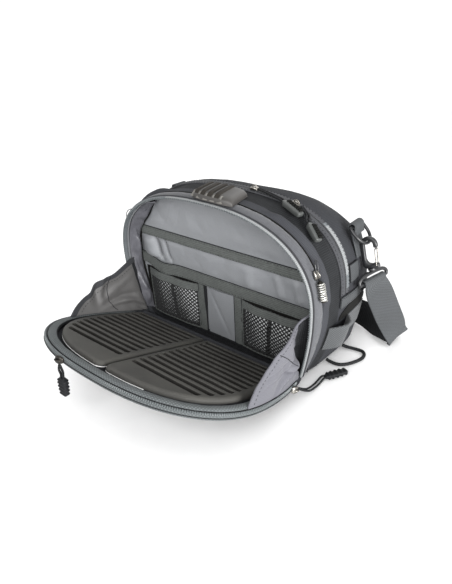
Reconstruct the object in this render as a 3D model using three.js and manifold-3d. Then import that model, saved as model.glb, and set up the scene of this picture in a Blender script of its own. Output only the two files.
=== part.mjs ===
// Fishing bag with its front pocket open: a soft D-shaped shoulder bag, in millimetres.
// X runs to the bag's right as seen from the front, Y to the back and Z up; the base rests on z = 0.
import * as THREE from 'three';
import { mergeVertices } from 'three/addons/utils/BufferGeometryUtils.js';
import Module from 'manifold-3d';

const wasm = await Module();
wasm.setup();

// Driving dimensions
const GAP = 0.3; // clearance kept between pieces that touch
const CLOTH = 2.5; // wall of the pocket sections
const PADDED = 3; // wall of the main compartment
const WEBBING = 1.8; // thickness of straps and tapes

// Cross-sections of the outer skin from the front edge to the back, a row for each.
// y is at floor level and lean is the shift in y per millimetre of height; belly, foot and
// corner are half width, half width at the floor and edge radius; round is the arch's exponent.
const SECTIONS = [
  { y: -83, lean: -0.079, belly: 150, bellyZ: 102, crown: 216.6, foot: 141, footZ: 13, corner: 8, round: 2.5 },
  { y: -68, lean: -0.075, belly: 154, bellyZ: 100, crown: 219, foot: 136, footZ: 0, corner: 12, round: 2.55 },
  { y: -38, lean: 0, belly: 157.5, bellyZ: 98, crown: 218, foot: 140, footZ: 0, corner: 12, round: 2.65 },
  { y: 0, lean: 0, belly: 160, bellyZ: 95, crown: 216, foot: 144, footZ: 0, corner: 12, round: 2.8 },
  { y: 30, lean: 0, belly: 158.5, bellyZ: 92, crown: 208, foot: 146.5, footZ: 0, corner: 12, round: 2.8 },
  { y: 55, lean: 0, belly: 153, bellyZ: 88, crown: 197, foot: 145, footZ: 0, corner: 12, round: 2.8 },
  { y: 70, lean: 0, belly: 146, bellyZ: 84, crown: 185, foot: 139, footZ: 0.8, corner: 12, round: 2.8 },
  { y: 79, lean: 0, belly: 132, bellyZ: 80, crown: 166, foot: 126, footZ: 6, corner: 12, round: 2.8 },
];
const FRONT_Y = SECTIONS[0].y;
const FRONT_SEAM_Y = -68;
const MAIN_SEAM_Y = -38;
const BACK_Y = 79;

// The middle pocket's skin: how far it swells out (or sinks) at each depth.
const MIDDLE_SWELL = [
  { y: -68, swell: 0 },
  { y: -66, swell: 2.5 },
  { y: -62.5, swell: 4.5 },
  { y: -59, swell: 3 },
  { y: -57, swell: -2.5 },
  { y: -46, swell: -3 },
  { y: -38, swell: 0 },
];
const SWELL_FOOT_Z = [100, 130]; // the swell fades out below these heights
const SWELL_CROWN_X = [66, 90]; // and is pressed flat under the grip

const FLAP_TILT = 20; // degrees that the opened door rises above level
const HINGE = { y: -90.5, z: 14, half: 128 };
const FLAP = { belly: 150, bellyZ: 91.5, crown: 210.7, foot: 141, footZ: 0, corner: 8, round: 2.5 };
const DOOR = { inset: 3.2, bottom: -5.5, top: -3.2 };
const RIM = { inset: 3.2, width: 10, bottom: -2.8, top: 4.2 };
const FLAP_ZIP = { width: 2.8, bottom: -5.5, top: 1.5 };
const PAD = { inset: 18.5, bottom: -2.8, top: 7, start: 12, middle: 1.5, cornerRadius: 10 };
const SLIT = { count: 12, first: 24, pitch: 12, width: 6.4, depth: 4.5, side: 13 };

const WALL_Y = -61.5; // front face of the pocket's back wall, at floor level
const WALL_LEAN = 0.0665; // its forward lean, per millimetre of height
const BANDS = { thickness: WEBBING, upperZ: 145, upperHeight: 13, pocketZ: 95, pocketHeight: 17 };
const POCKET = { inner: 38, outer: 130, foot: 10, top: 85, bulge: 14, cloth: 1.2, panelHalf: 25 };
const NET = { columns: 7, rows: 6, open: 0.7 }; // open is the gap's share of each mesh

const GRIP = { x: 10, halfLength: 29, front: -104, back: -53, thickness: 8.5, skew: -0.18 };
const GRIP_RIBS = { count: 4, height: 2 };
const ZIP = { width: 17, thickness: 1.4, y: -29.5 };
const FRAME_ZIP = { depth: 6, inset: 2.2, outset: 0.6 };

const SIDE_SLIDER_Y = -73; // the middle pocket's sliders ride just in front of its seam
const D_RING = { x: 143, y: 18, z: 185, wire: 2, width: 34, drop: 26, slope: 44 };
const HOOK = { tilt: 16, thickness: 5, halfWidth: 8, bar: 5, crownAt: 30, seat: 33.2 };
const GATE = { wire: 0.8, half: 3.6 };
const STRAP_RING = { wire: 2.3, width: 46, topWidth: 22, drop: 15, swivel: 18 };
const STRAP_WIDTH = 38;
const CORD = 1.3; // radius of the pullers' cords
const BUNGEE = 2.25; // radius of the elastic cord

const point = (x, y, z) => new THREE.Vector3(x, y, z);
const radians = THREE.MathUtils.degToRad;
const smooth = THREE.MathUtils.smoothstep;

function paint(color, roughness, metalness = 0) {
  return new THREE.MeshStandardMaterial({ color, roughness, metalness });
}
const materials = {
  shell: paint('#5b5c61', 0.85),
  lining: paint('#87888c', 0.7),
  tape: paint('#4d504f', 0.8),
  webbing: paint('#5d6162', 0.85),
  foam: paint('#45423d', 0.9),
  zip: paint('#a9adad', 0.6),
  rubber: paint('#4a4742', 0.6),
  plastic: paint('#2a2b2d', 0.45),
  cord: paint('#1f2022', 0.7),
  metal: paint('#b9b6ac', 0.3, 1),
};

const bag = new THREE.Group();

function addPiece(name, geometry, material, parent = bag) {
  const mesh = new THREE.Mesh(geometry, materials[material]);
  mesh.name = name;
  parent.add(mesh);
  return mesh;
}

// Surface helpers

function signedVolume(positions, index) {
  const [a, b, c] = [point(), point(), point()];
  let volume = 0;
  for (let i = 0; i < index.length; i += 3) {
    a.fromArray(positions, index[i] * 3);
    b.fromArray(positions, index[i + 1] * 3);
    c.fromArray(positions, index[i + 2] * 3);
    volume += a.dot(b.cross(c)) / 6;
  }
  return volume;
}

// Triangles that close a flat ring of points, in the ring's own order.
function capFaces(ring) {
  const normal = point();
  ring.forEach((p, i) => normal.add(p.clone().cross(ring[(i + 1) % ring.length])));
  normal.normalize();
  const across = ring[1].clone().sub(ring[0]).projectOnPlane(normal).normalize();
  const up = normal.clone().cross(across);
  const flat = ring.map((p) => new THREE.Vector2(p.dot(across), p.dot(up)));
  return THREE.ShapeUtils.triangulateShape(flat, []);
}

// A closed skin through a row of matching rings; a row that isn't closed gets flat ends.
function loft(rings, closed = false) {
  const count = rings[0].length;
  const positions = rings.flat().flatMap((p) => p.toArray());
  const index = [];
  const spans = closed ? rings.length : rings.length - 1;
  for (let i = 0; i < spans; i += 1) {
    const next = (i + 1) % rings.length;
    for (let j = 0; j < count; j += 1) {
      const k = (j + 1) % count;
      const [a, b] = [i * count + j, i * count + k];
      const [c, d] = [next * count + j, next * count + k];
      index.push(a, b, d, a, d, c);
    }
  }
  if (!closed) {
    const last = (rings.length - 1) * count;
    capFaces(rings[0]).forEach(([a, b, c]) => index.push(c, b, a));
    capFaces(rings.at(-1)).forEach(([a, b, c]) => index.push(last + a, last + b, last + c));
  }
  if (signedVolume(positions, index) < 0) index.reverse();
  const geometry = new THREE.BufferGeometry();
  geometry.setAttribute('position', new THREE.Float32BufferAttribute(positions, 3));
  geometry.setIndex(index);
  return geometry;
}

function toManifold(geometry) {
  const bare = geometry.clone();
  bare.deleteAttribute('normal');
  bare.deleteAttribute('uv');
  const merged = mergeVertices(bare, 1e-4);
  return new wasm.Manifold(new wasm.Mesh({
    numProp: 3,
    vertProperties: new Float32Array(merged.attributes.position.array),
    triVerts: new Uint32Array(merged.index.array),
  }));
}

function fromManifold(solid) {
  const mesh = solid.getMesh();
  const geometry = new THREE.BufferGeometry();
  geometry.setAttribute('position', new THREE.Float32BufferAttribute(mesh.vertProperties, 3));
  geometry.setIndex(new THREE.Uint32BufferAttribute(mesh.triVerts, 1));
  return geometry;
}

const joined = (...shapes) => fromManifold(shapes.map(toManifold).reduce((all, next) => all.add(next)));

function extruded(shape, depth) {
  return new THREE.ExtrudeGeometry(shape, { depth, bevelEnabled: false, curveSegments: 6 });
}

function shapeOf(pairs) {
  return new THREE.Shape(pairs.map(([x, y]) => new THREE.Vector2(x, y)));
}

// A round cord or wire with open ends along hand-picked points.
function cordAlong(points, radius, steps, sides = 8) {
  const section = new THREE.Shape();
  for (let i = 0; i < sides; i += 1) {
    const angle = (i / sides) * Math.PI * 2;
    const [x, y] = [radius * Math.cos(angle), radius * Math.sin(angle)];
    if (i === 0) section.moveTo(x, y);
    else section.lineTo(x, y);
  }
  const extrudePath = new THREE.CatmullRomCurve3(points, false, 'centripetal');
  return new THREE.ExtrudeGeometry(section, { steps, extrudePath, bevelEnabled: false });
}

// A closed loop of wire lying in the plane with the given normal.
function wireLoop(points, radius, normal, sides = 6) {
  const rings = points.map((p, i) => {
    const before = points[(i + points.length - 1) % points.length];
    const after = points[(i + 1) % points.length];
    const along = after.clone().sub(before).normalize();
    const across = along.cross(normal);
    return Array.from({ length: sides }, (_, k) => {
      const angle = ((k + 0.5) / sides) * Math.PI * 2;
      return p.clone()
        .addScaledVector(across, radius * Math.cos(angle))
        .addScaledVector(normal, radius * Math.sin(angle));
    });
  });
  return loft(rings, true);
}

// A flat ribbon through centre points, each with the direction of its width.
function ribbon(stations, width, thickness) {
  const rings = stations.map(({ at, across }, i) => {
    const before = stations[Math.max(i - 1, 0)].at;
    const after = stations[Math.min(i + 1, stations.length - 1)].at;
    const along = after.clone().sub(before).normalize();
    const side = across.clone().projectOnPlane(along).normalize();
    const face = along.clone().cross(side);
    return [[1, 1], [-1, 1], [-1, -1], [1, -1]].map(([u, v]) => at.clone()
      .addScaledVector(side, (u * width) / 2)
      .addScaledVector(face, (v * thickness) / 2));
  });
  return loft(rings);
}

// The bag's D-shaped outline

const COLUMNS = Object.keys(SECTIONS[0]);
const sectionTable = new THREE.CubicInterpolant(
  SECTIONS.map((row) => row.y),
  SECTIONS.flatMap((row) => COLUMNS.map((name) => row[name])),
  COLUMNS.length,
);

function sectionAt(y) {
  const values = sectionTable.evaluate(y);
  const section = Object.fromEntries(COLUMNS.map((name, i) => [name, values[i]]));
  section.footZ = Math.max(section.footZ, 0);
  return section;
}

// Half width of an outline at a height above its floor line.
function halfWidthAt(section, z, inset = 0) {
  const belly = section.belly - inset;
  if (z < section.bellyZ) {
    const share = (z - section.footZ - section.corner) / (section.bellyZ - section.footZ - section.corner);
    const swing = Math.sin(Math.max(share, 0) * (Math.PI / 2));
    return section.foot - inset + (section.belly - section.foot) * swing;
  }
  const rise = (z - section.bellyZ) / (section.crown - inset - section.bellyZ);
  return belly * (1 - rise ** section.round) ** (1 / section.round);
}

// Height of the arch over a distance from the middle.
function archHeight(section, x) {
  const share = Math.abs(x) / section.belly;
  const rise = (1 - share ** section.round) ** (1 / section.round);
  return section.bellyZ + (section.crown - section.bellyZ) * rise;
}

const CORNER_STEPS = 2;
const SIDE_STEPS = 3;
const ARCH_STEPS = 9;
const FOOT_INDEX = CORNER_STEPS; // first outline point above the rounded floor edge
const BELLY_INDEX = CORNER_STEPS + SIDE_STEPS;
const ZIP_INDEX = BELLY_INDEX + 1; // the main zip ends here on each side

// Outline as [x, z] pairs from the right foot over the crown to the left foot.
function outline(section, inset = 0, swell = 0) {
  const radius = section.corner - inset * 0.6;
  const floor = section.footZ + inset;
  const foot = section.foot - inset;
  const belly = section.belly - inset + swell;
  const crown = section.crown - inset + swell;
  const half = [];
  for (let i = 0; i <= CORNER_STEPS; i += 1) {
    const angle = (i / CORNER_STEPS) * (Math.PI / 2);
    half.push([foot - radius + radius * Math.sin(angle), floor + radius - radius * Math.cos(angle)]);
  }
  for (let i = 1; i <= SIDE_STEPS; i += 1) {
    const share = i / SIDE_STEPS;
    const z = floor + radius + (section.bellyZ - floor - radius) * share;
    half.push([foot + (belly - foot) * Math.sin(share * (Math.PI / 2)), z]);
  }
  for (let i = 1; i <= ARCH_STEPS; i += 1) {
    const angle = (i / ARCH_STEPS) * (Math.PI / 2);
    const x = belly * Math.max(Math.cos(angle), 0) ** (2 / section.round);
    const z = section.bellyZ + (crown - section.bellyZ) * Math.sin(angle) ** (2 / section.round);
    half.push([i === ARCH_STEPS ? 0 : x, z]);
  }
  const mirrored = half.slice(0, -1).reverse().map(([x, z]) => [-x, z]);
  return [...half, ...mirrored];
}

// The same outline as points in space, leaning with its section.
function outlineAt(y, inset = 0, swell = 0) {
  const section = sectionAt(y);
  const plain = outline(section, inset);
  const swollen = outline(section, inset, swell);
  return plain.map(([x, z], i) => {
    const underGrip = z > section.bellyZ + 60 ? smooth(Math.abs(x), ...SWELL_CROWN_X) : 1;
    const share = smooth(z, ...SWELL_FOOT_Z) * underGrip;
    const height = THREE.MathUtils.lerp(z, swollen[i][1], share);
    return point(THREE.MathUtils.lerp(x, swollen[i][0], share), y + section.lean * height, height);
  });
}

// A soft wall that runs right round the bag between rows of the table.
function ringWall(rows, thickness) {
  const outer = rows.map(({ y, swell = 0 }) => outlineAt(y, 0, swell));
  const inner = rows.map(({ y, swell = 0 }) => outlineAt(y, thickness, swell));
  const rings = outer[0].map((_, i) => [...outer.map((o) => o[i]), ...inner.map((o) => o[i]).reverse()]);
  return loft(rings, true);
}

// The body of the bag

const frontRows = [FRONT_Y, -75, FRONT_SEAM_Y - GAP / 2].map((y) => ({ y }));
addPiece('front_gusset', ringWall(frontRows, CLOTH), 'shell');
addPiece('middle_pocket', ringWall(MIDDLE_SWELL.map(({ y, swell }, i, all) => ({
  y: i === 0 ? y + GAP / 2 : y - (i === all.length - 1 ? GAP / 2 : 0),
  swell,
})), CLOTH), 'shell');
const mainRows = [MAIN_SEAM_Y + GAP / 2, -20, 0, 30, 55, 70, BACK_Y].map((y) => ({ y }));
addPiece('main_body', ringWall(mainRows, PADDED), 'shell');
addPiece('back_panel', loft([
  { y: BACK_Y + GAP, inset: 0 },
  { y: BACK_Y + 6, inset: 3 },
  { y: BACK_Y + 11, inset: 15 },
].map(({ y, inset }) => outlineAt(BACK_Y, inset).map((p) => point(p.x, y, p.z)))), 'shell');

// Zip tapes along the front edge and over the main compartment

function frontZip() {
  const { depth, inset, outset } = FRAME_ZIP;
  const edge = (side, forward) => outlineAt(FRONT_Y, side)
    .slice(FOOT_INDEX, -FOOT_INDEX)
    .map((p) => point(p.x, p.y - forward, p.z));
  const corners = [edge(-outset, GAP), edge(-outset, depth), edge(inset, depth), edge(inset, GAP)];
  return loft(corners[0].map((_, i) => corners.map((c) => c[i])));
}
addPiece('front_zip', frontZip(), 'zip');

function mainZip() {
  const [front, back] = [ZIP.y - ZIP.width / 2, ZIP.y + ZIP.width / 2];
  const edge = (y, lift) => outlineAt(y, -lift).slice(ZIP_INDEX, -ZIP_INDEX);
  const top = GAP + ZIP.thickness;
  const corners = [edge(front, GAP), edge(front, top), edge(back, top), edge(back, GAP)];
  return loft(corners[0].map((_, i) => corners.map((c) => c[i])));
}
addPiece('main_zip', mainZip(), 'zip');

// The pocket's back wall with its bands and net pockets

addPiece('pocket_wall', loft([WALL_Y, WALL_Y + 2].map((y) => outlineAt(WALL_Y + 1, CLOTH + GAP)
  .map((p) => point(p.x, y - WALL_LEAN * p.z, p.z)))), 'lining');

const onWall = new THREE.Group();
onWall.position.y = WALL_Y;
onWall.rotation.x = Math.atan(WALL_LEAN);
bag.add(onWall);

const wallSection = sectionAt(WALL_Y + 1);
const wallHalf = (z) => halfWidthAt(wallSection, z, CLOTH + 2);

function wallBand(z, height) {
  const [low, high] = [z - height / 2, z + height / 2];
  const band = extruded(shapeOf([
    [-wallHalf(low), low], [wallHalf(low), low], [wallHalf(high), high], [-wallHalf(high), high],
  ]), BANDS.thickness);
  return band.rotateX(Math.PI / 2).translate(0, -GAP, 0);
}
addPiece('upper_band', wallBand(BANDS.upperZ, BANDS.upperHeight), 'tape', onWall);
addPiece('pocket_band', wallBand(BANDS.pocketZ, BANDS.pocketHeight), 'tape', onWall);

// A net pocket bellies forward between its edges, most at its mouth, with a diamond gap in each mesh.
function netPocket(side) {
  const { inner, outer, foot, top, bulge, cloth } = POCKET;
  const { columns, rows, open } = NET;
  const positions = [];
  const index = [];
  const addPoint = (across, up) => [0, 1].map((layer) => {
    const belly = bulge * Math.sin(Math.PI * across) * (0.55 + 0.45 * up);
    const y = -GAP - belly - layer * cloth;
    return positions.push(inner + (outer - inner) * across, y, foot + (top - foot) * up) / 3 - 1;
  });
  const addFace = (a, b, c) => index.push(a[1], b[1], c[1], c[0], b[0], a[0]);
  const addEdge = (a, b) => index.push(a[1], b[1], b[0], a[1], b[0], a[0]);
  const knots = Array.from({ length: rows + 1 }, (_, row) => (
    Array.from({ length: columns + 1 }, (__, column) => addPoint(column / columns, row / rows))));
  const half = open / 2;
  for (let row = 0; row < rows; row += 1) {
    for (let column = 0; column < columns; column += 1) {
      const ring = [knots[row][column], knots[row][column + 1], knots[row + 1][column + 1], knots[row + 1][column]];
      const gap = [[0, -half], [half, 0], [0, half], [-half, 0]]
        .map(([u, v]) => addPoint((column + 0.5 + u) / columns, (row + 0.5 + v) / rows));
      ring.forEach((knot, i) => {
        const next = (i + 1) % 4;
        addFace(knot, ring[next], gap[i]);
        addFace(ring[next], gap[next], gap[i]);
        addEdge(gap[i], gap[next]);
      });
    }
  }
  for (let column = 0; column < columns; column += 1) {
    addEdge(knots[0][column + 1], knots[0][column]);
    addEdge(knots[rows][column], knots[rows][column + 1]);
  }
  for (let row = 0; row < rows; row += 1) {
    addEdge(knots[row][0], knots[row + 1][0]);
    addEdge(knots[row + 1][columns], knots[row][columns]);
  }
  const net = new THREE.BufferGeometry();
  net.setAttribute('position', new THREE.Float32BufferAttribute(positions, 3));
  net.setIndex(index);
  return mirrored(net, side);
}

// Mirror a closed mesh across the bag's middle, keeping its faces outward.
function mirroredMesh(geometry) {
  const bare = geometry.clone();
  bare.deleteAttribute('normal');
  bare.deleteAttribute('uv');
  const merged = mergeVertices(bare, 1e-4);
  merged.scale(-1, 1, 1);
  merged.setIndex(Array.from(merged.index.array).reverse());
  return merged;
}

const SIDES = [{ name: 'right', side: 1 }, { name: 'left', side: -1 }];
const mirrored = (geometry, side) => (side > 0 ? geometry : mirroredMesh(geometry));

for (const { name, side } of SIDES) {
  addPiece(`net_pocket_${name}`, netPocket(side), 'lining', onWall);
  const bindingWidth = POCKET.inner - POCKET.panelHalf;
  const binding = new THREE.BoxGeometry(bindingWidth, BANDS.thickness, POCKET.top - POCKET.foot);
  const middle = (POCKET.inner + POCKET.panelHalf) / 2 - GAP;
  binding.translate(side * middle, -GAP - BANDS.thickness / 2, (POCKET.top + POCKET.foot) / 2);
  addPiece(`pocket_binding_${name}`, binding, 'tape', onWall);
}
const panelWidth = 2 * (POCKET.panelHalf - 2 * GAP);
const centrePanel = new THREE.BoxGeometry(panelWidth, POCKET.cloth, POCKET.top - POCKET.foot);
centrePanel.translate(0, -GAP - POCKET.cloth / 2, (POCKET.top + POCKET.foot) / 2);
addPiece('centre_pocket', centrePanel, 'lining', onWall);

// The door: a tilted tray with a padded rim, a zip and two slit foam pads. Its own y runs back to the hinge.

const flap = new THREE.Group();
flap.position.set(0, HINGE.y, HINGE.z);
flap.rotation.x = -radians(FLAP_TILT);
bag.add(flap);
flap.updateMatrixWorld(true);
const flapPoint = (x, out, height) => point(x, -out, height).applyMatrix4(flap.matrixWorld);
const doorOutline = (inset) => outline({ ...FLAP, footZ: 1 }, inset);

addPiece('flap_panel', loft([DOOR.bottom, DOOR.top].map((height) => doorOutline(DOOR.inset)
  .map(([x, out]) => point(x, -out, height)))), 'shell', flap);

// A strip of cloth joins the door's lower edge to the opening's.
function flapHinge() {
  const hem = outlineAt(FRONT_Y)[0];
  const seam = DOOR.inset + 1 - GAP;
  const ends = [
    point(0, hem.y - GAP, hem.z + 0.3), point(0, hem.y - GAP, hem.z + CLOTH),
    flapPoint(0, seam, DOOR.top), flapPoint(0, seam, DOOR.bottom),
  ];
  return loft([-HINGE.half, HINGE.half].map((x) => ends.map((p) => point(x, p.y, p.z))));
}
addPiece('flap_hinge', flapHinge(), 'shell');

function flapStrip(corners) {
  const edges = corners.map(([inset, height]) => doorOutline(inset)
    .slice(FOOT_INDEX, -FOOT_INDEX)
    .map(([x, out]) => point(x, -out, height)));
  return loft(edges[0].map((_, i) => edges.map((edge) => edge[i])));
}
const rimEnd = RIM.inset + RIM.width;
addPiece('flap_rim', flapStrip([
  [RIM.inset, RIM.bottom],
  [RIM.inset, RIM.top - 4],
  [RIM.inset + 3.5, RIM.top],
  [rimEnd - 3, RIM.top],
  [rimEnd, RIM.top - 4],
  [rimEnd, RIM.bottom],
]), 'shell', flap);
addPiece('flap_zip', flapStrip([
  [0, FLAP_ZIP.bottom], [0, FLAP_ZIP.top], [FLAP_ZIP.width, FLAP_ZIP.top], [FLAP_ZIP.width, FLAP_ZIP.bottom],
]), 'zip', flap);

function foamPad(side) {
  const half = outline(FLAP, PAD.inset).slice(0, BELLY_INDEX + ARCH_STEPS);
  const shape = new THREE.Shape();
  const rightSide = half.filter(([x, out]) => x > PAD.middle + PAD.cornerRadius * 2 && out > PAD.start + 6);
  const crown = FLAP.crown - PAD.inset;
  shape.moveTo(PAD.middle, PAD.start);
  shape.lineTo(rightSide[0][0] - 6, PAD.start);
  shape.lineTo(rightSide[0][0], PAD.start + 6);
  rightSide.forEach(([x, out]) => shape.lineTo(x, out));
  shape.lineTo(PAD.middle + PAD.cornerRadius, crown);
  shape.quadraticCurveTo(PAD.middle, crown, PAD.middle, crown - PAD.cornerRadius);
  shape.closePath();
  let pad = toManifold(extruded(shape, PAD.top - PAD.bottom).translate(0, 0, PAD.bottom));
  for (let i = 0; i < SLIT.count; i += 1) {
    const out = SLIT.first + i * SLIT.pitch;
    const reach = halfWidthAt(FLAP, out, PAD.inset) - SLIT.side;
    const r = SLIT.width / 2;
    const slit = new THREE.Shape();
    slit.moveTo(SLIT.side, out - r);
    slit.lineTo(reach, out - r);
    slit.lineTo(reach + r * 0.8, out);
    slit.lineTo(reach, out + r);
    slit.lineTo(SLIT.side, out + r);
    slit.lineTo(SLIT.side - r * 0.8, out);
    pad = pad.subtract(toManifold(extruded(slit, SLIT.depth + 1).translate(0, 0, PAD.top - SLIT.depth)));
  }
  // the shape is drawn outward from the hinge, and the door's own y runs the other way
  const geometry = fromManifold(pad);
  geometry.scale(1, -1, 1);
  geometry.setIndex(Array.from(geometry.index.array).reverse());
  return mirrored(geometry, side);
}
for (const { name, side } of SIDES) addPiece(`foam_pad_${name}`, foamPad(side), 'foam', flap);

// Cloth gussets that hold the door from the sides of the opening

const GUSSET = { low: 22, near: 12, far: 127, y: -77, seam: 1.3, cloth: 1.5, across: 6, along: 5 };
function gusset(side, sway) {
  const [edgeSection, seamSection] = [sectionAt(FRONT_Y), sectionAt(GUSSET.y)];
  const lift = RIM.top + GAP + GUSSET.cloth / 2 + 0.3;
  const surface = (s, t) => {
    const z = THREE.MathUtils.lerp(GUSSET.low, sway.high, t);
    const inside = Math.min(halfWidthAt(edgeSection, z, CLOTH), halfWidthAt(seamSection, z, CLOTH));
    const x = inside - GUSSET.cloth / 2 - GUSSET.seam;
    const frame = point(x, GUSSET.y + edgeSection.lean * z, z);
    const out = THREE.MathUtils.lerp(GUSSET.near, GUSSET.far, t);
    const rim = flapPoint(halfWidthAt(FLAP, out) - RIM.inset - RIM.width * 0.55, out, lift);
    const bow = 6.75 * s * s * (1 - s) * t;
    return frame.lerp(rim, s).add(point(bow * sway.out, 0, bow * sway.up));
  };
  const rings = [];
  for (let j = 0; j <= GUSSET.along; j += 1) {
    const t = j / GUSSET.along;
    const front = [];
    const back = [];
    for (let i = 0; i <= GUSSET.across; i += 1) {
      const s = i / GUSSET.across;
      const step = 0.02;
      const du = surface(Math.min(s + step, 1), t).sub(surface(Math.max(s - step, 0), t));
      const dv = surface(s, Math.min(t + step, 1)).sub(surface(s, Math.max(t - step, 0)));
      const normal = du.cross(dv).normalize().multiplyScalar(GUSSET.cloth / 2);
      front.push(surface(s, t).add(normal));
      back.push(surface(s, t).sub(normal));
    }
    rings.push([...front, ...back.reverse()]);
  }
  return mirrored(loft(rings), side);
}
const GUSSET_SWAY = { right: { out: -5, up: 2, high: 112 }, left: { out: 6, up: 5, high: 102 } };
for (const { name, side } of SIDES) {
  addPiece(`side_gusset_${name}`, gusset(side, GUSSET_SWAY[name]), 'lining');
}

// Ribbed moulded grip on top

function gripSections() {
  const { halfLength, front, back, thickness, skew } = GRIP;
  const topSection = sectionAt(FRONT_SEAM_Y);
  const ribPitch = (halfLength * 1.36) / GRIP_RIBS.count;
  const ridge = 1 + GRIP_RIBS.height / thickness;
  const profile = [[-halfLength, 0.35], [-halfLength * 0.86, 0.9]];
  for (let i = 0; i < GRIP_RIBS.count; i += 1) {
    const start = -halfLength * 0.68 + i * ribPitch;
    profile.push([start, 1], [start + ribPitch * 0.12, ridge]);
    profile.push([start + ribPitch * 0.55, ridge], [start + ribPitch * 0.67, 1]);
  }
  profile.push([halfLength * 0.86, 0.9], [halfLength, 0.35]);
  const middle = (front + back) / 2;
  return profile.map(([x, share]) => {
    const taper = 1 - 0.22 * Math.abs(x / halfLength) ** 3;
    const half = ((back - front) / 2) * taper;
    const base = (y) => archHeight(topSection, GRIP.x + x + skew * (y - middle)) + GAP + 0.4;
    const ring = [[-half, 0], [-half, 0.55], [-half + 6, 1], [half - 6, 1], [half, 0.55], [half, 0]];
    return ring.map(([side, up]) => {
      const y = middle + side;
      return point(GRIP.x + x + skew * side, y, base(y) + up * share * thickness);
    });
  });
}
addPiece('handle_grip', loft(gripSections()), 'rubber');

// Zip pullers: a metal slider, a doubled cord and a ribbed moulded end

function sliderBody(at, along, up) {
  const side = up.clone().cross(along).normalize();
  const profile = [[-5.5, 3.2, 2.2], [-3, 4.2, 4.2], [2.5, 4.2, 4.6], [5.5, 2.6, 2.4]];
  const corners = [[-1, 0], [-0.7, 1], [0.7, 1], [1, 0]];
  return loft(profile.map(([far, half, tall]) => corners.map(([s, h]) => at.clone()
    .addScaledVector(along, far)
    .addScaledVector(side, s * half)
    .addScaledVector(up, h * tall))));
}

function ribbedEnd(from, to, up, half = 5.2, thick = 3.6) {
  const along = to.clone().sub(from);
  const side = up.clone().cross(along).normalize();
  const face = along.clone().cross(side).normalize();
  const ribs = 5;
  const profile = [[0, 0.55]];
  for (let i = 0; i < ribs; i += 1) {
    const start = 0.1 + (i * 0.82) / ribs;
    profile.push([start, 1], [start + 0.09, 1], [start + 0.115, 0.78]);
  }
  profile.push([1, 0.85]);
  const upper = [[1, 0.5], [0.55, 1], [-0.55, 1], [-1, 0.5]];
  const corners = [...upper, ...upper.map(([u, v]) => [-u, -v])];
  return loft(profile.map(([share, size]) => corners.map(([u, v]) => from.clone()
    .addScaledVector(along, share)
    .addScaledVector(side, u * half * size)
    .addScaledVector(face, v * thick * size))));
}

// Out along one strand, round the slider's bail and back along the other.
function doubledCord(points, up) {
  const last = points.length - 1;
  const strand = (sign) => points.map((p, i) => {
    const along = points[Math.min(i + 1, last)].clone().sub(points[Math.max(i - 1, 0)]).normalize();
    const apart = sign * (i === last ? 1.5 : 2.1);
    return p.clone().addScaledVector(up.clone().cross(along).normalize(), apart);
  });
  const tip = points.at(-1).clone().add(points.at(-1).clone().sub(points.at(-2)).setLength(2.1));
  return cordAlong([...strand(1), tip, ...strand(-1).reverse()], CORD, 14);
}

const mainTop = (x, y, lift) => point(x, y, archHeight(sectionAt(y), x) + lift);
const PULLERS = [
  {
    name: 'top_puller_near',
    slider: { at: mainTop(26, ZIP.y, 2.1), along: point(1, 0, -0.05), up: point(0.03, 0, 1) },
    end: [mainTop(75, -42, 5.2), mainTop(103, -49, 5.6)],
    cord: [mainTop(55, -36.5, 4.6), mainTop(35.2, -31, 4.3)],
    up: point(0.3, 0, 1),
  },
  {
    name: 'top_puller_far',
    slider: { at: mainTop(84, ZIP.y, 2.6), along: point(1, 0, -0.45), up: point(0.45, 0, 1) },
    end: [mainTop(114, -50, 5.4), mainTop(132, -59, 7)],
    cord: [mainTop(106, -38.5, 4.6), mainTop(95, -31.5, 4.8)],
    up: point(0.6, 0, 0.8),
  },
  {
    name: 'flap_puller_left',
    slider: { at: flapPoint(-43, 210.1, -2), along: point(1, 0.12, 0), up: point(0, -0.94, 0.34) },
    end: [point(-43.5, -290.2, 60.5), point(-44.5, -290.8, 36.5)],
    cord: [point(-43.2, -290.4, 69.5), point(-43, -290.6, 76)],
    up: point(0, -1, 0),
  },
  {
    name: 'flap_puller_right',
    slider: { at: flapPoint(145.85, 26, -1.5), along: point(0.1, 0.94, -0.34), up: point(1, 0, 0.1) },
    end: [point(157, -52, 4.6), point(174, -24, 4.6)],
    cord: [point(154, -72, 3.4), point(153, -92, 8.5), point(148.4, -107.8, 18.7)],
    up: point(0.1, 0.2, 1),
  },
];
for (const { name, slider, end, cord, up } of PULLERS) {
  addPiece(`${name}_slider`, sliderBody(slider.at, slider.along.normalize(), slider.up.normalize()), 'metal');
  const lead = [0.5, 4].map((back) => end[0].clone().add(end[0].clone().sub(end[1]).setLength(back)));
  addPiece(`${name}_cord`, doubledCord([...lead, ...cord], up), 'cord');
  addPiece(`${name}_end`, ribbedEnd(end[0], end[1], up), 'plastic');
}

// Side zip sliders with coiled metal pulls, hardware and webbing on both sides

function sideSurface(y, z, lift) {
  const section = sectionAt(y);
  return point(halfWidthAt(section, z) + lift, y + section.lean * z, z);
}

function sideSlider() {
  const at = sideSurface(SIDE_SLIDER_Y, 158, 1.5);
  return sliderBody(at, point(0.25, 0.07, -1).normalize(), point(1, 0, 0.3).normalize());
}

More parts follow.
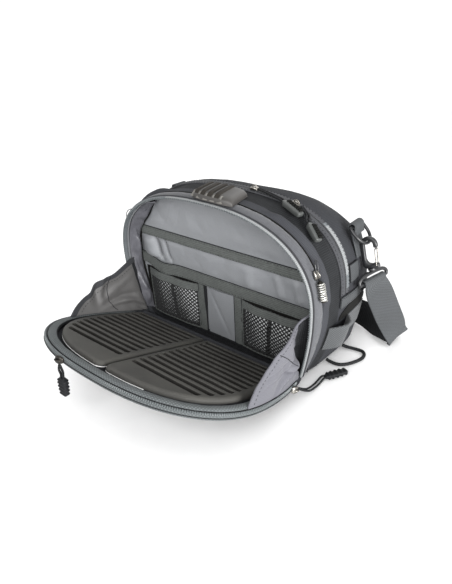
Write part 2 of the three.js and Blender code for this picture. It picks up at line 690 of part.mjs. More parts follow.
function coiledPull() {
  const top = sideSurface(SIDE_SLIDER_Y, 152, 5.4);
  const foot = sideSurface(SIDE_SLIDER_Y, 128, 4.8);
  const along = foot.clone().sub(top);
  const out = point(1, 0, 0).projectOnPlane(along.clone().normalize()).normalize();
  const side = along.clone().normalize().cross(out);
  const turns = 7;
  const profile = [[0, 2.4]];
  for (let i = 0; i < turns; i += 1) profile.push([(i + 0.3) / turns, 4], [(i + 0.8) / turns, 3.3]);
  profile.push([1, 2.6]);
  return loft(profile.map(([share, r]) => Array.from({ length: 8 }, (_, k) => {
    const angle = (k / 8) * Math.PI * 2;
    return top.clone().addScaledVector(along, share)
      .addScaledVector(out, r * Math.cos(angle)).addScaledVector(side, r * Math.sin(angle));
  })));
}

// Webbing tab: up the bag's side, over the ring's bar and down again in front.
function ringTab() {
  const width = 25;
  const bend = D_RING.wire + GAP + WEBBING / 2;
  const stations = [
    sideSurface(D_RING.y, 149, WEBBING / 2 + GAP + 1),
    point(149.6, D_RING.y, 163),
    point(143.2, D_RING.y, 178),
  ];
  for (let angle = 195; angle >= -20; angle -= 43) {
    const turn = radians(angle);
    stations.push(point(D_RING.x + bend * Math.cos(turn), D_RING.y, D_RING.z + bend * Math.sin(turn)));
  }
  stations.push(point(149.2, D_RING.y, 176.5));
  return ribbon(stations.map((at) => ({ at, across: point(0, 1, 0) })), width, WEBBING);
}

const ringSlope = radians(D_RING.slope);
const ringDown = point(Math.cos(ringSlope), 0, -Math.sin(ringSlope));
const ringBar = point(D_RING.x, D_RING.y, D_RING.z);

function dRing() {
  const half = D_RING.width / 2;
  const place = (y, down) => ringBar.clone().add(point(0, y, 0)).addScaledVector(ringDown, down);
  const points = [place(half - 3, 0), place(-half + 3, 0), place(-half, 2)];
  for (let angle = 180; angle >= 0; angle -= 20) {
    const turn = radians(angle);
    points.push(place(half * Math.cos(turn), 10 + (D_RING.drop - 10) * Math.sin(turn)));
  }
  points.push(place(half, 2));
  return wireLoop(points, D_RING.wire, point(0, 1, 0).cross(ringDown).normalize());
}

// The snap hook hangs on the ring's bow: u runs outward and w up the hook, in the plane of X and Z.

const hookFrame = new THREE.Group();
const ringBow = ringBar.clone().addScaledVector(ringDown, D_RING.drop);
hookFrame.rotation.y = -radians(HOOK.tilt);
hookFrame.updateMatrixWorld(true);
const hookFoot = ringBow.clone().sub(point(0, 0, HOOK.seat).applyMatrix4(hookFrame.matrixWorld));
hookFrame.position.copy(hookFoot);
hookFrame.updateMatrixWorld(true);
bag.add(hookFrame);

function arcPairs(cx, cy, r, from, to, steps) {
  return Array.from({ length: steps + 1 }, (_, i) => {
    const angle = radians(from + ((to - from) * i) / steps);
    return [cx + r * Math.cos(angle), cy + r * Math.sin(angle)];
  });
}

function hookBody() {
  const { halfWidth, bar, crownAt, thickness } = HOOK;
  const [outer, inner] = [halfWidth + bar / 2, halfWidth - bar / 2];
  const shape = shapeOf([
    [outer - 1, 0], [outer, 2], [outer - 0.6, 7], [inner, 7.6], [0, 6], [-inner, 9],
    ...arcPairs(0, crownAt, inner, 180, 0, 8),
    [inner + 0.2, 26.6], [outer - 0.4, 27.4],
    ...arcPairs(0, crownAt, outer, 0, 180, 10),
    [-outer, 4], [-outer + 3, 0],
  ]);
  const post = new THREE.CylinderGeometry(3, 3, 3, 8).rotateX(Math.PI / 2).translate(0, 0, -1.2);
  return joined(extruded(shape, thickness).rotateX(Math.PI / 2).translate(0, thickness / 2, 0), post);
}

function gateWire() {
  const { wire, half } = GATE;
  const { halfWidth } = HOOK;
  const legPairs = [[halfWidth - 0.4, 4.6], [halfWidth - 0.2, 14], [halfWidth, 23.2]];
  const leg = (y) => legPairs.map(([u, w]) => point(u, y, w));
  const nose = [point(halfWidth, -half + 1.2, 25.2), point(halfWidth, half - 1.2, 25.2)];
  return cordAlong([...leg(-half), ...nose, ...leg(half).reverse()], wire, 20, 6);
}

// Swivel eye with a wide loop for the strap, below the hook's foot and turned a little about it.
const swivel = radians(STRAP_RING.swivel);
const ringAcross = point(Math.sin(swivel), Math.cos(swivel), 0);
const ringNormal = point(Math.cos(swivel), -Math.sin(swivel), 0);

function strapRing() {
  const { wire, width, topWidth, drop } = STRAP_RING;
  const top = -3 - wire;
  const side = width / 2 + wire;
  const half = [[topWidth / 2, top], [side - 3, top - 3], [side, top - 6.5], [side - 2.5, -drop]];
  const pairs = [...half, ...half.map(([y, w]) => [-y, w]).reverse()];
  const points = pairs.map(([far, w]) => ringAcross.clone().multiplyScalar(far).setZ(w));
  return wireLoop(points, wire, ringNormal, 8);
}

addPiece('snap_hook_right', hookBody(), 'plastic', hookFrame);
addPiece('hook_gate_right', gateWire(), 'metal', hookFrame);
addPiece('strap_ring_right', strapRing(), 'plastic', hookFrame);

// The left hook is out of sight: one plain piece, closed across its mouth.
function plainHook() {
  const shut = new THREE.BoxGeometry(3, 3, 22).translate(HOOK.halfWidth, 0, 17);
  const neck = new THREE.CylinderGeometry(3, 3, 6, 8).rotateX(Math.PI / 2).translate(0, 0, -2.5);
  return joined(hookBody(), shut, neck, strapRing()).applyMatrix4(hookFrame.matrixWorld);
}
addPiece('snap_hook_left', mirroredMesh(plainHook()), 'plastic');

// Side webbing: a patch under the ring, a band along the side and below it one with a loose loop at its front

function sideWeb(ys, zs, lift) {
  const rings = zs.map((z) => {
    const outer = ys.map((y) => sideSurface(y, z, lift(y) + WEBBING));
    const inner = ys.map((y) => sideSurface(y, z, lift(y)));
    return [...outer, ...inner.reverse()];
  });
  return loft(rings);
}
const flatLift = () => GAP;
const LOOP = { low: 46, high: 80, front: -54, seam: -12, back: 38, bulge: 12 };
function loopLift(y) {
  const share = Math.min((y - LOOP.front) / (LOOP.seam - LOOP.front), 1);
  return GAP + LOOP.bulge * Math.sin(Math.PI * share);
}

for (const { name, side } of SIDES) {
  addPiece(`side_slider_${name}`, mirrored(sideSlider(), side), 'metal');
  addPiece(`side_puller_${name}`, mirrored(coiledPull(), side), 'metal');
  addPiece(`ring_tab_${name}`, mirrored(ringTab(), side), 'webbing');
  addPiece(`d_ring_${name}`, mirrored(dRing(), side), 'plastic');
  const patch = sideWeb([-18, -4, 4.5], [126, 136, 147], flatLift);
  addPiece(`side_patch_${name}`, mirrored(patch, side), 'webbing');
  const band = sideWeb([-37, 0, 30, 52], [98, 105, 112], flatLift);
  addPiece(`side_band_${name}`, mirrored(band, side), 'webbing');
  const loop = sideWeb([LOOP.front, -48, -42, -36, -30, -24, -18, LOOP.seam, 0, 20, LOOP.back],
    [LOOP.low, 57, 68, LOOP.high], loopLift);
  addPiece(`side_loop_${name}`, mirrored(loop, side), 'webbing');
}

// Shoulder strap: from ring to ring, down to the floor and round behind the bag, standing on its edge

const ringBarFoot = point(0, 0, -STRAP_RING.drop).applyMatrix4(hookFrame.matrixWorld);
const barAlong = ringAcross.clone().transformDirection(hookFrame.matrixWorld);
const barOut = barAlong.clone().cross(point(0, 0, 1)).normalize();
const barUp = barOut.clone().cross(barAlong);
const STRAP_ROUTE = [
  { at: [184, 33, 92], across: [0.5, 0.83, 0.22] },
  { at: [191, 53, 60], across: [0.55, 0.79, 0.25] },
  { at: [197.5, 72, 32], across: [0.48, 0.84, 0.22] },
  { at: [201.5, 83, 12], across: [0.27, 0.93, 0.22] },
  { at: [200.5, 87, 6.6], across: [0.2, 0.95, 0.2] },
  { at: [192, 88, 6], across: [0, 0.98, 0.2] },
  { at: [178, 92, 11.5], across: [0, 0.87, 0.5] },
  { at: [160, 98, 17.3], across: [0, 0.6, 0.8] },
  { at: [140, 103, 19.6], across: [0, 0.3, 0.95] },
  { at: [110, 106.5, 20.2], across: [0, 0.05, 1] },
  { at: [80, 107, 20.2], across: [0, 0, 1] },
];

function strapStations() {
  const bend = STRAP_RING.wire + 2 * GAP + WEBBING / 2;
  const byBar = (out, along, up) => ringBarFoot.clone()
    .addScaledVector(barOut, out).addScaledVector(barAlong, along).addScaledVector(barUp, up);
  const wrap = [180, 145, 110, 75, 40, 5].map((angle) => {
    const turn = radians(angle);
    return { at: byBar(bend * Math.cos(turn), 0, bend * Math.sin(turn)), across: barAlong };
  });
  const tail = { at: byBar(-bend, 1, -8), across: barAlong };
  const down = { at: byBar(bend + 0.6, 1, -8), across: barAlong };
  const route = STRAP_ROUTE.map(({ at, across }) => ({ at: point(...at), across: point(...across) }));
  return [tail, ...wrap, down, ...route];
}

function shoulderStrap() {
  const half = strapStations();
  const flip = ({ x, y, z }) => point(-x, y, z);
  const rest = half.map(({ at, across }) => ({ at: flip(at), across: flip(across) }));
  return ribbon([...half, ...rest.reverse()], STRAP_WIDTH, WEBBING);
}
addPiece('shoulder_strap', shoulderStrap(), 'webbing');

// Elastic cord that leaves the bag's lower right side, lies in a loop on the floor and goes back in
const BUNGEE_ROUTE = [
  [144.4, 27, 4.4], [150.5, 28.5, 3], [158, 30.5, 2.5], [166, 32, 2.5], [173, 31.5, 2.5],
  [177.5, 26, 2.5], [178.5, 17, 2.5], [175.5, 7, 2.5], [171, -2, 2.5], [165.5, -10, 2.5],
  [158, -15.5, 2.5], [149.5, -17, 3], [141.4, -17, 4.4],
];
addPiece('bungee_loop', cordAlong(BUNGEE_ROUTE.map((p) => point(...p)), BUNGEE, 24), 'cord');

export default bag;
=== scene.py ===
from math import copysign, cos, exp, pi, radians, sin, sqrt
import bmesh
import bpy
import numpy as np
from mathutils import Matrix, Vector, noise


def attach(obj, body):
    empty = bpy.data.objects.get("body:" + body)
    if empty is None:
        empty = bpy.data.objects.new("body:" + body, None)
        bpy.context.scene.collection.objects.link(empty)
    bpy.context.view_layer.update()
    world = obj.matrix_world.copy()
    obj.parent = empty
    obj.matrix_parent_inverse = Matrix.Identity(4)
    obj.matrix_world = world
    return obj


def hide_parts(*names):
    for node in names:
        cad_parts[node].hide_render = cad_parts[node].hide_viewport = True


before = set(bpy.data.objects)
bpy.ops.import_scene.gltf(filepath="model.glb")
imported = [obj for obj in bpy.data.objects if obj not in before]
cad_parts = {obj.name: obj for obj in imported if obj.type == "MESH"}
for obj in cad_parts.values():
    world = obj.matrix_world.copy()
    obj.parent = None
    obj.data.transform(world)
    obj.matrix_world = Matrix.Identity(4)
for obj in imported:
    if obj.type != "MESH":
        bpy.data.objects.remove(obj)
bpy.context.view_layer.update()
mm = 0.001  # every size below is in millimetres
print("frame loaded:", len(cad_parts), "nodes")

# camera at the photograph's angle, pale floor and soft light
cameraView = {"place": (331.7, -496.0, 376.9), "target": (-40.04, 0, 40.82), "lens": 28.14, "sensor": 36}
studio = {
    "floor": 6000,
    "world": 1.06,
    "lamps": [  # name, place, target, size, watts
        ("frontSoftbox", (350, -1250, 800), (0, -60, 60), 1000, 18),
        ("rightSoftbox", (1150, -350, 260), (60, 0, 80), 700, 34),
        ("backSoftbox", (-200, 1100, 1000), (0, 0, 120), 1000, 4),
    ],
}


def aim(obj, place, target):
    obj.location = Vector(place) * mm
    obj.rotation_euler = (Vector(target) - Vector(place)).to_track_quat("-Z", "Y").to_euler()
    bpy.context.scene.collection.objects.link(obj)


cameraData = bpy.data.cameras.new("photoCamera")
cameraData.lens = cameraView["lens"]
cameraData.sensor_width = cameraView["sensor"]
cameraData.clip_start = 0.01
photoCamera = bpy.data.objects.new("photoCamera", cameraData)
aim(photoCamera, cameraView["place"], cameraView["target"])
bpy.context.scene.camera = photoCamera
for lampName, place, target, size, watts in studio["lamps"]:
    lamp = bpy.data.lights.new(lampName, "AREA")
    lamp.size = size * mm
    lamp.energy = watts
    aim(bpy.data.objects.new(lampName, lamp), place, target)
world = bpy.data.worlds.new("studioWorld")
world.use_nodes = True
world.node_tree.nodes["Background"].inputs["Color"].default_value = (1, 1, 1, 1)
world.node_tree.nodes["Background"].inputs["Strength"].default_value = studio["world"]
bpy.context.scene.world = world
bpy.context.scene.view_settings.view_transform = "Standard"  # plain tones, so white paper stays white
print("camera and light placed")


# materials
def linear(hexColour):
    parts = [int(hexColour[i:i + 2], 16) / 255 for i in (1, 3, 5)]
    return [p / 12.92 if p <= 0.04045 else ((p + 0.055) / 1.055) ** 2.4 for p in parts] + [1]


def addNode(tree, kind, values=(), links=(), **settings):
    node = tree.nodes.new(kind)
    for key, value in settings.items():
        setattr(node, key, value)
    for socket, value in dict(values).items():
        node.inputs[socket].default_value = value
    for socket, source in dict(links).items():
        tree.links.new(source, node.inputs[socket])
    return node


def startMaterial(name, roughness, metallic=0.0, **sockets):
    made = bpy.data.materials.new(name)
    made.use_nodes = True
    shader = made.node_tree.nodes["Principled BSDF"]
    shader.inputs["Roughness"].default_value = roughness
    shader.inputs["Metallic"].default_value = metallic
    for key, value in sockets.items():
        shader.inputs[key.replace("_", " ")].default_value = value
    return made, made.node_tree, shader


# woven and knitted goods share one build: threads drawn across the piece's own flat length and width
def clothMaterial(name, light, dark, threads, roughness, lift, blotch=0.35, blotchSize=30, slant=0.0,
                  **sockets):
    made, tree, shader = startMaterial(name, roughness, **sockets)
    flat = addNode(tree, "ShaderNodeUVMap")
    turn = addNode(tree, "ShaderNodeMapping",
                   {"Rotation": (0, 0, slant), "Scale": (1 / threads[0], 1 / threads[0], 1)},
                   {"Vector": flat.outputs["UV"]})
    oneWave = 2 * pi / 20  # the wave texture's scale for one wave in one unit
    warp = addNode(tree, "ShaderNodeTexWave", {"Scale": oneWave, "Distortion": 0.6, "Detail": 1.0},
                   {"Vector": turn.outputs["Vector"]}, bands_direction="X")
    weft = addNode(tree, "ShaderNodeTexWave",
                   {"Scale": oneWave * threads[0] / threads[1], "Distortion": 0.6, "Detail": 1.0},
                   {"Vector": turn.outputs["Vector"]}, bands_direction="Y")
    weave = addNode(tree, "ShaderNodeMath", (), {0: warp.outputs["Fac"], 1: weft.outputs["Fac"]},
                    operation="MULTIPLY")
    place = addNode(tree, "ShaderNodeTexCoord")
    patch = addNode(tree, "ShaderNodeTexNoise", {"Scale": 1000 / blotchSize, "Detail": 4, "Roughness": 0.6},
                    {"Vector": place.outputs["Object"]})
    shade = addNode(tree, "ShaderNodeMath", {1: blotch}, {0: patch.outputs["Fac"], 2: weave.outputs["Value"]},
                    operation="MULTIPLY_ADD")
    tone = addNode(tree, "ShaderNodeValToRGB", (), {"Fac": shade.outputs["Value"]})
    tone.color_ramp.elements[0].color = linear(dark)
    tone.color_ramp.elements[1].color = linear(light)
    tone.color_ramp.elements[1].position = 1 + blotch * 0.4
    tree.links.new(tone.outputs["Color"], shader.inputs["Base Color"])
    bump = addNode(tree, "ShaderNodeBump", {"Strength": 0.6, "Distance": lift * mm},
                   {"Height": weave.outputs["Value"]})
    tree.links.new(bump.outputs["Normal"], shader.inputs["Normal"])
    return made


# moulded, foamed and plated goods: one colour broken up by a fine grain
def mouldedMaterial(name, light, dark, grain, roughness, lift, metallic=0.0, **sockets):
    made, tree, shader = startMaterial(name, roughness, metallic, **sockets)
    place = addNode(tree, "ShaderNodeTexCoord")
    pits = addNode(tree, "ShaderNodeTexNoise", {"Scale": 1000 / grain, "Detail": 6, "Roughness": 0.65},
                   {"Vector": place.outputs["Object"]})
    cloud = addNode(tree, "ShaderNodeTexNoise", {"Scale": 25, "Detail": 2},
                    {"Vector": place.outputs["Object"]})
    both = addNode(tree, "ShaderNodeMath", {1: 0.5}, {0: pits.outputs["Fac"], 2: cloud.outputs["Fac"]},
                   operation="MULTIPLY_ADD")
    tone = addNode(tree, "ShaderNodeValToRGB", (), {"Fac": both.outputs["Value"]})
    tone.color_ramp.elements[0].position = 0.35
    tone.color_ramp.elements[0].color = linear(dark)
    tone.color_ramp.elements[1].color = linear(light)
    tree.links.new(tone.outputs["Color"], shader.inputs["Base Color"])
    bump = addNode(tree, "ShaderNodeBump", {"Strength": 0.5, "Distance": lift * mm},
                   {"Height": pits.outputs["Fac"]})
    tree.links.new(bump.outputs["Normal"], shader.inputs["Normal"])
    return made


sheen = {"Sheen_Weight": 0.12, "Sheen_Roughness": 0.5}
matt = {"Specular_IOR_Level": 0.15}  # loose fibres scatter the gloss away
# thread sizes are the real ones times three or so, as coarse as it takes to show at this picture's size
# woven pack cloth is a dull, speckled charcoal; two plainer copies are darker with painted shade, the second
# deeper still
packCloth = clothMaterial("nylonPackClothWoven", "#46474b", "#26272a", (1.5, 1.5), 0.8, 0.3, blotch=0.8,
                          blotchSize=4, **sheen)
puffClothShaded = clothMaterial("nylonPackClothShadedPadded", "#3a3b3f", "#242528", (1.5, 1.5), 0.8, 0.3, **matt)
bodyClothShaded = clothMaterial("nylonPackClothShadedDeep", "#323337", "#1e1f21", (1.5, 1.5), 0.85, 0.3, **matt)
# painted shade: a near-black copy of the cloth, with pinholes that break up its black
shadowCloth = clothMaterial("nylonClothPaintedShade", "#232426", "#0b0c0d", (2.6, 2.6), 0.85, 0.5, blotch=0.7,
                            blotchSize=12, **matt)
# satin lining is a smooth mid grey with a soft shine; three darker copies carry painted shade, the first with
# painted fold shading in its blotches, and the last browner
liningCloth = clothMaterial("nylonLiningSatinWoven", "#7a7c7f", "#616366", (1.2, 1.2), 0.55, 0.12, blotch=0.4,
                            **sheen)
satinShade = clothMaterial("nylonLiningSatinShaded", "#57575c", "#1e1e21", (1.2, 1.2), 0.35, 0.12, blotch=1.2,
                           blotchSize=14)
gussetSatinShaded = clothMaterial("nylonLiningSatinShadedGusset", "#505057", "#3f3f44", (1.2, 1.2), 0.5, 0.12,
                            blotch=0.5, **sheen)
shadeLining = clothMaterial("nylonLiningSatinDark", "#545352", "#3f3e3e", (1.2, 1.2), 0.5, 0.12, blotch=0.5)
# brushed loops look flecked and dry, woven binding is a plain dark edge
loopTape = clothMaterial("polyesterLoopTapeBrushed", "#525553", "#222524", (1.6, 2.6), 0.95, 0.5, blotch=0.9,
                         blotchSize=5)
hemTape = clothMaterial("polyesterBindingTapeWoven", "#2b2c30", "#1a1b1d", (1.3, 1.3), 0.85, 0.3)
# twill webbing shows slanted ribs; its inner side is a near-black copy, painted shade
webbing = clothMaterial("polypropyleneWebbingTwill", "#3d4042", "#1c1e20", (2.6, 2.0), 0.7, 0.6, slant=0.7,
                        **sheen)
strapWebbing = clothMaterial("polypropyleneStrapTwill", "#3c3f42", "#1a1c1d", (2.4, 1.8), 0.7, 0.6, slant=0.7)
webbingInsideShaded = clothMaterial("polypropyleneWebbingShadedInside", "#1e1f21", "#0f1011", (3.2, 2.2), 0.8, 0.5,
                              slant=-0.7, **matt)
# coated zip tape is silvery with a painted glint, a duller copy paints it where the glint fades, plain woven
# tape is dark
zipTapeGlint = clothMaterial("polyesterZipTapeCoatedGlint", "#7f8182", "#616364", (1.5, 2.2), 0.4, 0.2, blotch=0.2)
zipTapeGlintFaded = clothMaterial("polyesterZipTapeGlintFaded", "#5a5e61", "#3d4143", (1.5, 2.2), 0.5, 0.2, blotch=0.6)
zipTapeDark = clothMaterial("polyesterZipTapeWoven", "#323337", "#1e1f22", (1.5, 2.2), 0.7, 0.2, blotch=0.4)
# knitted air mesh has slanted cells and a dry grey green
rimMesh = clothMaterial("polyesterAirMeshKnitted", "#55595a", "#313536", (2.4, 2.4), 0.9, 0.7, slant=0.78,
                        blotch=0.6)
# knitted net is black yarn; a pale sheet behind it paints the light seen through the meshes
netYarn = clothMaterial("polyesterNetKnitted", "#1c1d1e", "#0f1010", (1.2, 1.2), 0.8, 0.3)
netGlint = clothMaterial("polyesterNetBackingPaintedLight", "#d4d6d7", "#77797a", (1.2, 1.2), 0.5, 0.2, blotch=1.2,
                         blotchSize=16)
# braided cord is black, with slanted strands
braidCord = clothMaterial("polyesterCordBraided", "#1f2022", "#0b0c0d", (1.6, 1.6), 0.7, 0.3, slant=0.78,
                          **matt)
# moulded foam is matt and faintly mottled; a near-black paints shade in gaps, grooves and corners and colours
# the puller ends' teeth, a lighter black paints the shade in the pads' slits; its film backing is a smooth
# white
evaFoam = mouldedMaterial("evaFoamMoulded", "#393834", "#262523", 1.5, 0.75, 0.15)
shadeAndTeethBlack = mouldedMaterial("blackForShadeAndTeeth", "#0f0f0e", "#080807", 1.0, 0.95, 0.1, **matt)
foamSlitShaded = mouldedMaterial("evaFoamCutShaded", "#22211f", "#171614", 1.0, 0.95, 0.1, **matt)
padBacking = mouldedMaterial("polyethyleneFilmBacking", "#f2f2f2", "#e2e2e2", 3, 0.4, 0.05)
# moulded rubber has a soft gloss, duller and browner on the ribs and paler at the teeth
gripRubber = mouldedMaterial("thermoplasticRubberMoulded", "#353331", "#272523", 2, 0.5, 0.1)
gripRib = mouldedMaterial("thermoplasticRubberDark", "#2a2723", "#1d1a17", 2, 0.7, 0.1, **matt)
gripEdge = mouldedMaterial("thermoplasticRubberPale", "#5c5a56", "#4c4a46", 2, 0.5, 0.1)
# moulded vinyl is smooth and nearly without grain, in dark grey and in a flat black
endRubber = mouldedMaterial("pvcPullerEndMoulded", "#3b3d3c", "#2c2e2d", 2, 0.5, 0.1)
endBlack = mouldedMaterial("pvcPullerEndBlack", "#17181a", "#0c0d0e", 2, 0.6, 0.1, **matt)
# hard nylon gives a black with clear glints, and a grey coil
blackNylon = mouldedMaterial("nylonBlackMoulded", "#18191b", "#0d0e10", 1.5, 0.38, 0.06)
zipCoil = mouldedMaterial("nylonZipCoilExtruded", "#515657", "#393e40", 1, 0.4, 0.05)
# plated zinc mirrors softly in grey, and a darker copy paints shade on the left door slider and the coil's
# core; coiled steel wire mirrors brightly
nickel = mouldedMaterial("zincNickelPlated", "#98958f", "#4b4844", 1.2, 0.3, 0.04, metallic=1.0)
nickelShaded = mouldedMaterial("zincNickelPaintedShade", "#3c3a37", "#22211f", 1.2, 0.35, 0.04, metallic=1.0)
steelCoil = mouldedMaterial("steelWireCoiled", "#c9c8c4", "#96958f", 1.2, 0.25, 0.04, metallic=1.0)
# sewing thread makes dark dashes without shine, and the same black paints thin lines of shade; painted paper
# an even white ground
threadAndShadeLine = mouldedMaterial("polyesterSewingThreadAndShadeLine", "#1c1d1f", "#121314", 0.6, 0.8, 0.05, **matt)
paperSweep = mouldedMaterial("paperSweepPainted", "#fbfbfb", "#f6f6f6", 40, 0.9, 0.02)
print("materials mixed")

bothSides = {"Right": 1, "Left": -1}  # the left is the right, mirrored
sharpFrom = radians(40)  # edges bent further than this stay crisp


# mesh tools; a mesh is its points, its faces and its flat lengths at each face's corners
class Heap:  # several closed meshes gathered into one piece
    def __init__(self):
        self.verts, self.faces, self.tags, self.uvs, self.count = [], [], [], [], 0

    # the tag is a material's number or a list of them, and faces past the list's end take the first material
    def put(self, tag, mesh):
        verts, faces, *flat = mesh
        verts = np.asarray(verts, float).reshape(-1, 3)
        tags = tag if isinstance(tag, list) else [tag] * len(faces)
        self.verts.append(verts)
        self.faces.extend([self.count + i for i in face] for face in faces)
        self.tags.extend(tags + [0] * (len(faces) - len(tags)))
        corners = [verts[i] for face in faces for i in face]
        self.uvs.extend(flat[0] if flat else [(x + y, z + y * 0.5) for x, y, z in corners])
        self.count += len(verts)
        return self

    # the finished piece stands in for the node of its own name
    def make(self, name, materials, slot, side=1, body="bag"):
        mesh = bpy.data.meshes.new(name)
        mesh.from_pydata((np.concatenate(self.verts) * [side, 1, 1] * mm).tolist(), [], self.faces)
        for material in materials:
            mesh.materials.append(material)
        mesh.polygons.foreach_set("material_index", np.asarray(self.tags, np.int32))
        layer = mesh.uv_layers.new(name="flat")
        layer.data.foreach_set("uv", np.asarray(self.uvs, np.float32).ravel())
        tidy = bmesh.new()
        tidy.from_mesh(mesh)
        bmesh.ops.recalc_face_normals(tidy, faces=tidy.faces)
        tidy.to_mesh(mesh)
        tidy.free()
        mesh.shade_smooth()
        mesh.set_sharp_from_angle(angle=sharpFrom)
        piece = bpy.data.objects.new(name, mesh)
        bpy.context.scene.collection.objects.link(piece)
        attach(piece, body)
        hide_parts("".join("_" + letter.lower() if letter.isupper() else letter for letter in name))
        return piece


def fullTurn(count):
    return np.linspace(0, 2 * pi, count, endpoint=False)


def together(x, y, z):
    return np.stack(np.broadcast_arrays(x, y, z), axis=-1)


# a sine or cosine drawn toward a square
def squarish(value, power):
    return copysign(abs(value) ** power, value)


def unit(vectors):
    return vectors / np.maximum(np.linalg.norm(vectors, axis=-1, keepdims=True), 1e-9)


def gridNormals(grid):
    return unit(np.cross(np.gradient(grid, axis=1), np.gradient(grid, axis=0)))


def lengths(points):
    return np.concatenate([[0], np.cumsum(np.linalg.norm(np.diff(points, axis=0), axis=1))])


# quads over a grid of points, with flat lengths as texture coordinates
def gridSkin(grid, closeRows=False, closeCols=False, flip=False):
    rows, cols = grid.shape[:2]
    lastRow, lastCol = rows - (not closeRows), cols - (not closeCols)
    along = lengths(np.concatenate([grid[rows // 2], grid[rows // 2, :1]]))
    up = lengths(np.concatenate([grid[:, cols // 3], grid[:1, cols // 3]]))
    faces, uvs = [], []
    for i in range(lastRow):
        for j in range(lastCol):
            k, m = (i + 1) % rows, (j + 1) % cols
            face = [i * cols + j, i * cols + m, k * cols + m, k * cols + j]
            flat = [(along[j], up[i]), (along[j + 1], up[i]), (along[j + 1], up[i + 1]),
                    (along[j], up[i + 1])]
            faces.append(face[::-1] if flip else face)
            uvs.extend(flat[::-1] if flip else flat)
    return grid.reshape(-1, 3), faces, uvs


# the places around a grid's border
def gridRing(rows, cols):
    ring = [(0, j) for j in range(cols)] + [(i, cols - 1) for i in range(1, rows)]
    return ring + [(rows - 1, j) for j in range(cols - 2, -1, -1)] + [(i, 0) for i in range(rows - 2, 0, -1)]


# a sheet with two sides and a rim: front is the side that its normals point to
def shell(grid, thickness):
    rows, cols = grid.shape[:2]
    lift = gridNormals(grid) * thickness * 0.5
    verts, faces, uvs = gridSkin(grid + lift, flip=True)
    backVerts, backFaces, backUvs = gridSkin(grid - lift)
    count = len(verts)
    flat = [i * cols + j for i, j in gridRing(rows, cols)]
    edge = [[count + b, count + a, a, b] for a, b in zip(flat, flat[1:] + flat[:1])]
    verts = np.concatenate([verts, backVerts])
    faces = faces + [[count + i for i in face] for face in backFaces] + edge
    return verts, faces, uvs + backUvs + [(verts[i][0], verts[i][2]) for face in edge for i in face]


# evenly spaced points on a smooth path; columns past the third go along
def smoothPath(points, count, closed=False):
    points = np.asarray(points, float)
    if closed:
        padded = np.concatenate([points[-1:], points, points[:2]])
    else:
        padded = np.concatenate([2 * points[:1] - points[1:2], points, 2 * points[-1:] - points[-2:-1]])
    fine = []
    for a, b, c, d in zip(padded, padded[1:], padded[2:], padded[3:]):
        for t in np.linspace(0, 1, 24, endpoint=False):
            fine.append(0.5 * (2 * b + (c - a) * t + (2 * a - 5 * b + 4 * c - d) * t * t
                               + (3 * b - a - 3 * c + d) * t ** 3))
    fine.append(fine[0] if closed else points[-1])
    fine = np.array(fine)
    reach = lengths(fine[:, :3])
    marks = np.linspace(0, reach[-1], count, endpoint=not closed)
    return np.stack([np.interp(marks, reach, fine[:, k]) for k in range(fine.shape[1])], axis=1)


# directions across a path that travel along it without twisting
def pathFrames(points, closed):
    if closed:
        along = unit(np.roll(points, -1, 0) - np.roll(points, 1, 0))
    else:
        along = unit(np.gradient(points, axis=0))
    side = np.cross(np.array([0.13, 0.21, 0.97]), along[0])  # from a direction that no path here starts in
    sides = []
    for direction in along:
        side = unit(side - direction * np.dot(side, direction))
        sides.append(side)
    return np.array(sides), np.cross(along, sides)


def tube(points, radius, sides=12, closed=False):
    points = np.asarray(points, float)
    across, lift = pathFrames(points, closed)
    radius = np.broadcast_to(np.asarray(radius, float), (len(points),))
    turn = fullTurn(sides)
    ring = np.cos(turn)[None, :, None] * across[:, None] + np.sin(turn)[None, :, None] * lift[:, None]
    grid = points[:, None] + radius[:, None, None] * ring
    verts, faces, uvs = gridSkin(grid, closeRows=closed, closeCols=True)
    if not closed:
        last = (len(points) - 1) * sides
        faces = faces + [list(range(sides))[::-1], [last + i for i in range(sides)]]
        uvs = uvs + [(cos(a), sin(a)) for a in turn] * 2
    return verts, faces, uvs


# stacked rings of the same count with flat ends
def stacked(rings):
    rings = np.asarray(rings, float)
    verts, faces, uvs = gridSkin(rings, closeCols=True)
    count, last = rings.shape[1], (rings.shape[0] - 1) * rings.shape[1]
    ends = [list(range(count))[::-1], [last + i for i in range(count)]]
    uvs = uvs + [(verts[i][0], verts[i][1]) for face in ends for i in face]
    return verts, faces + ends, uvs


# a flat band of cloth along stations, with rounded edges: ten faces on the front, then ten on the back
def bandAlong(points, across, width, thickness):
    points, across = np.asarray(points, float), np.asarray(across, float)
    along = unit(np.gradient(points, axis=0))
    side = unit(across - along * np.sum(across * along, axis=1, keepdims=True))
    face = np.cross(along, side)
    half, deep = width / 2, thickness / 2
    front, back = np.linspace(-half + 2, half - 2, 7), np.linspace(half - 2, -half + 2, 7)
    profile = [(-half, 0), (-half + deep * 0.6, deep)] + [(u, deep) for u in front]
    profile += [(half - deep * 0.6, deep), (half, 0), (half - deep * 0.6, -deep)]
    profile += [(u, -deep) for u in back] + [(-half + deep * 0.6, -deep)]
    around = np.array([[u * s + v * f for u, v in profile] for s, f in zip(side, face)])
    return stacked(points[:, None] + around)


def ripple(points, size, seed):
    shift = Vector((seed * 7.3, seed * 3.1, seed * 5.7))
    flat = np.asarray(points, float).reshape(-1, 3) / size
    values = np.array([noise.noise(Vector(p) + shift) for p in flat])
    return values.reshape(np.asarray(points).shape[:-1])


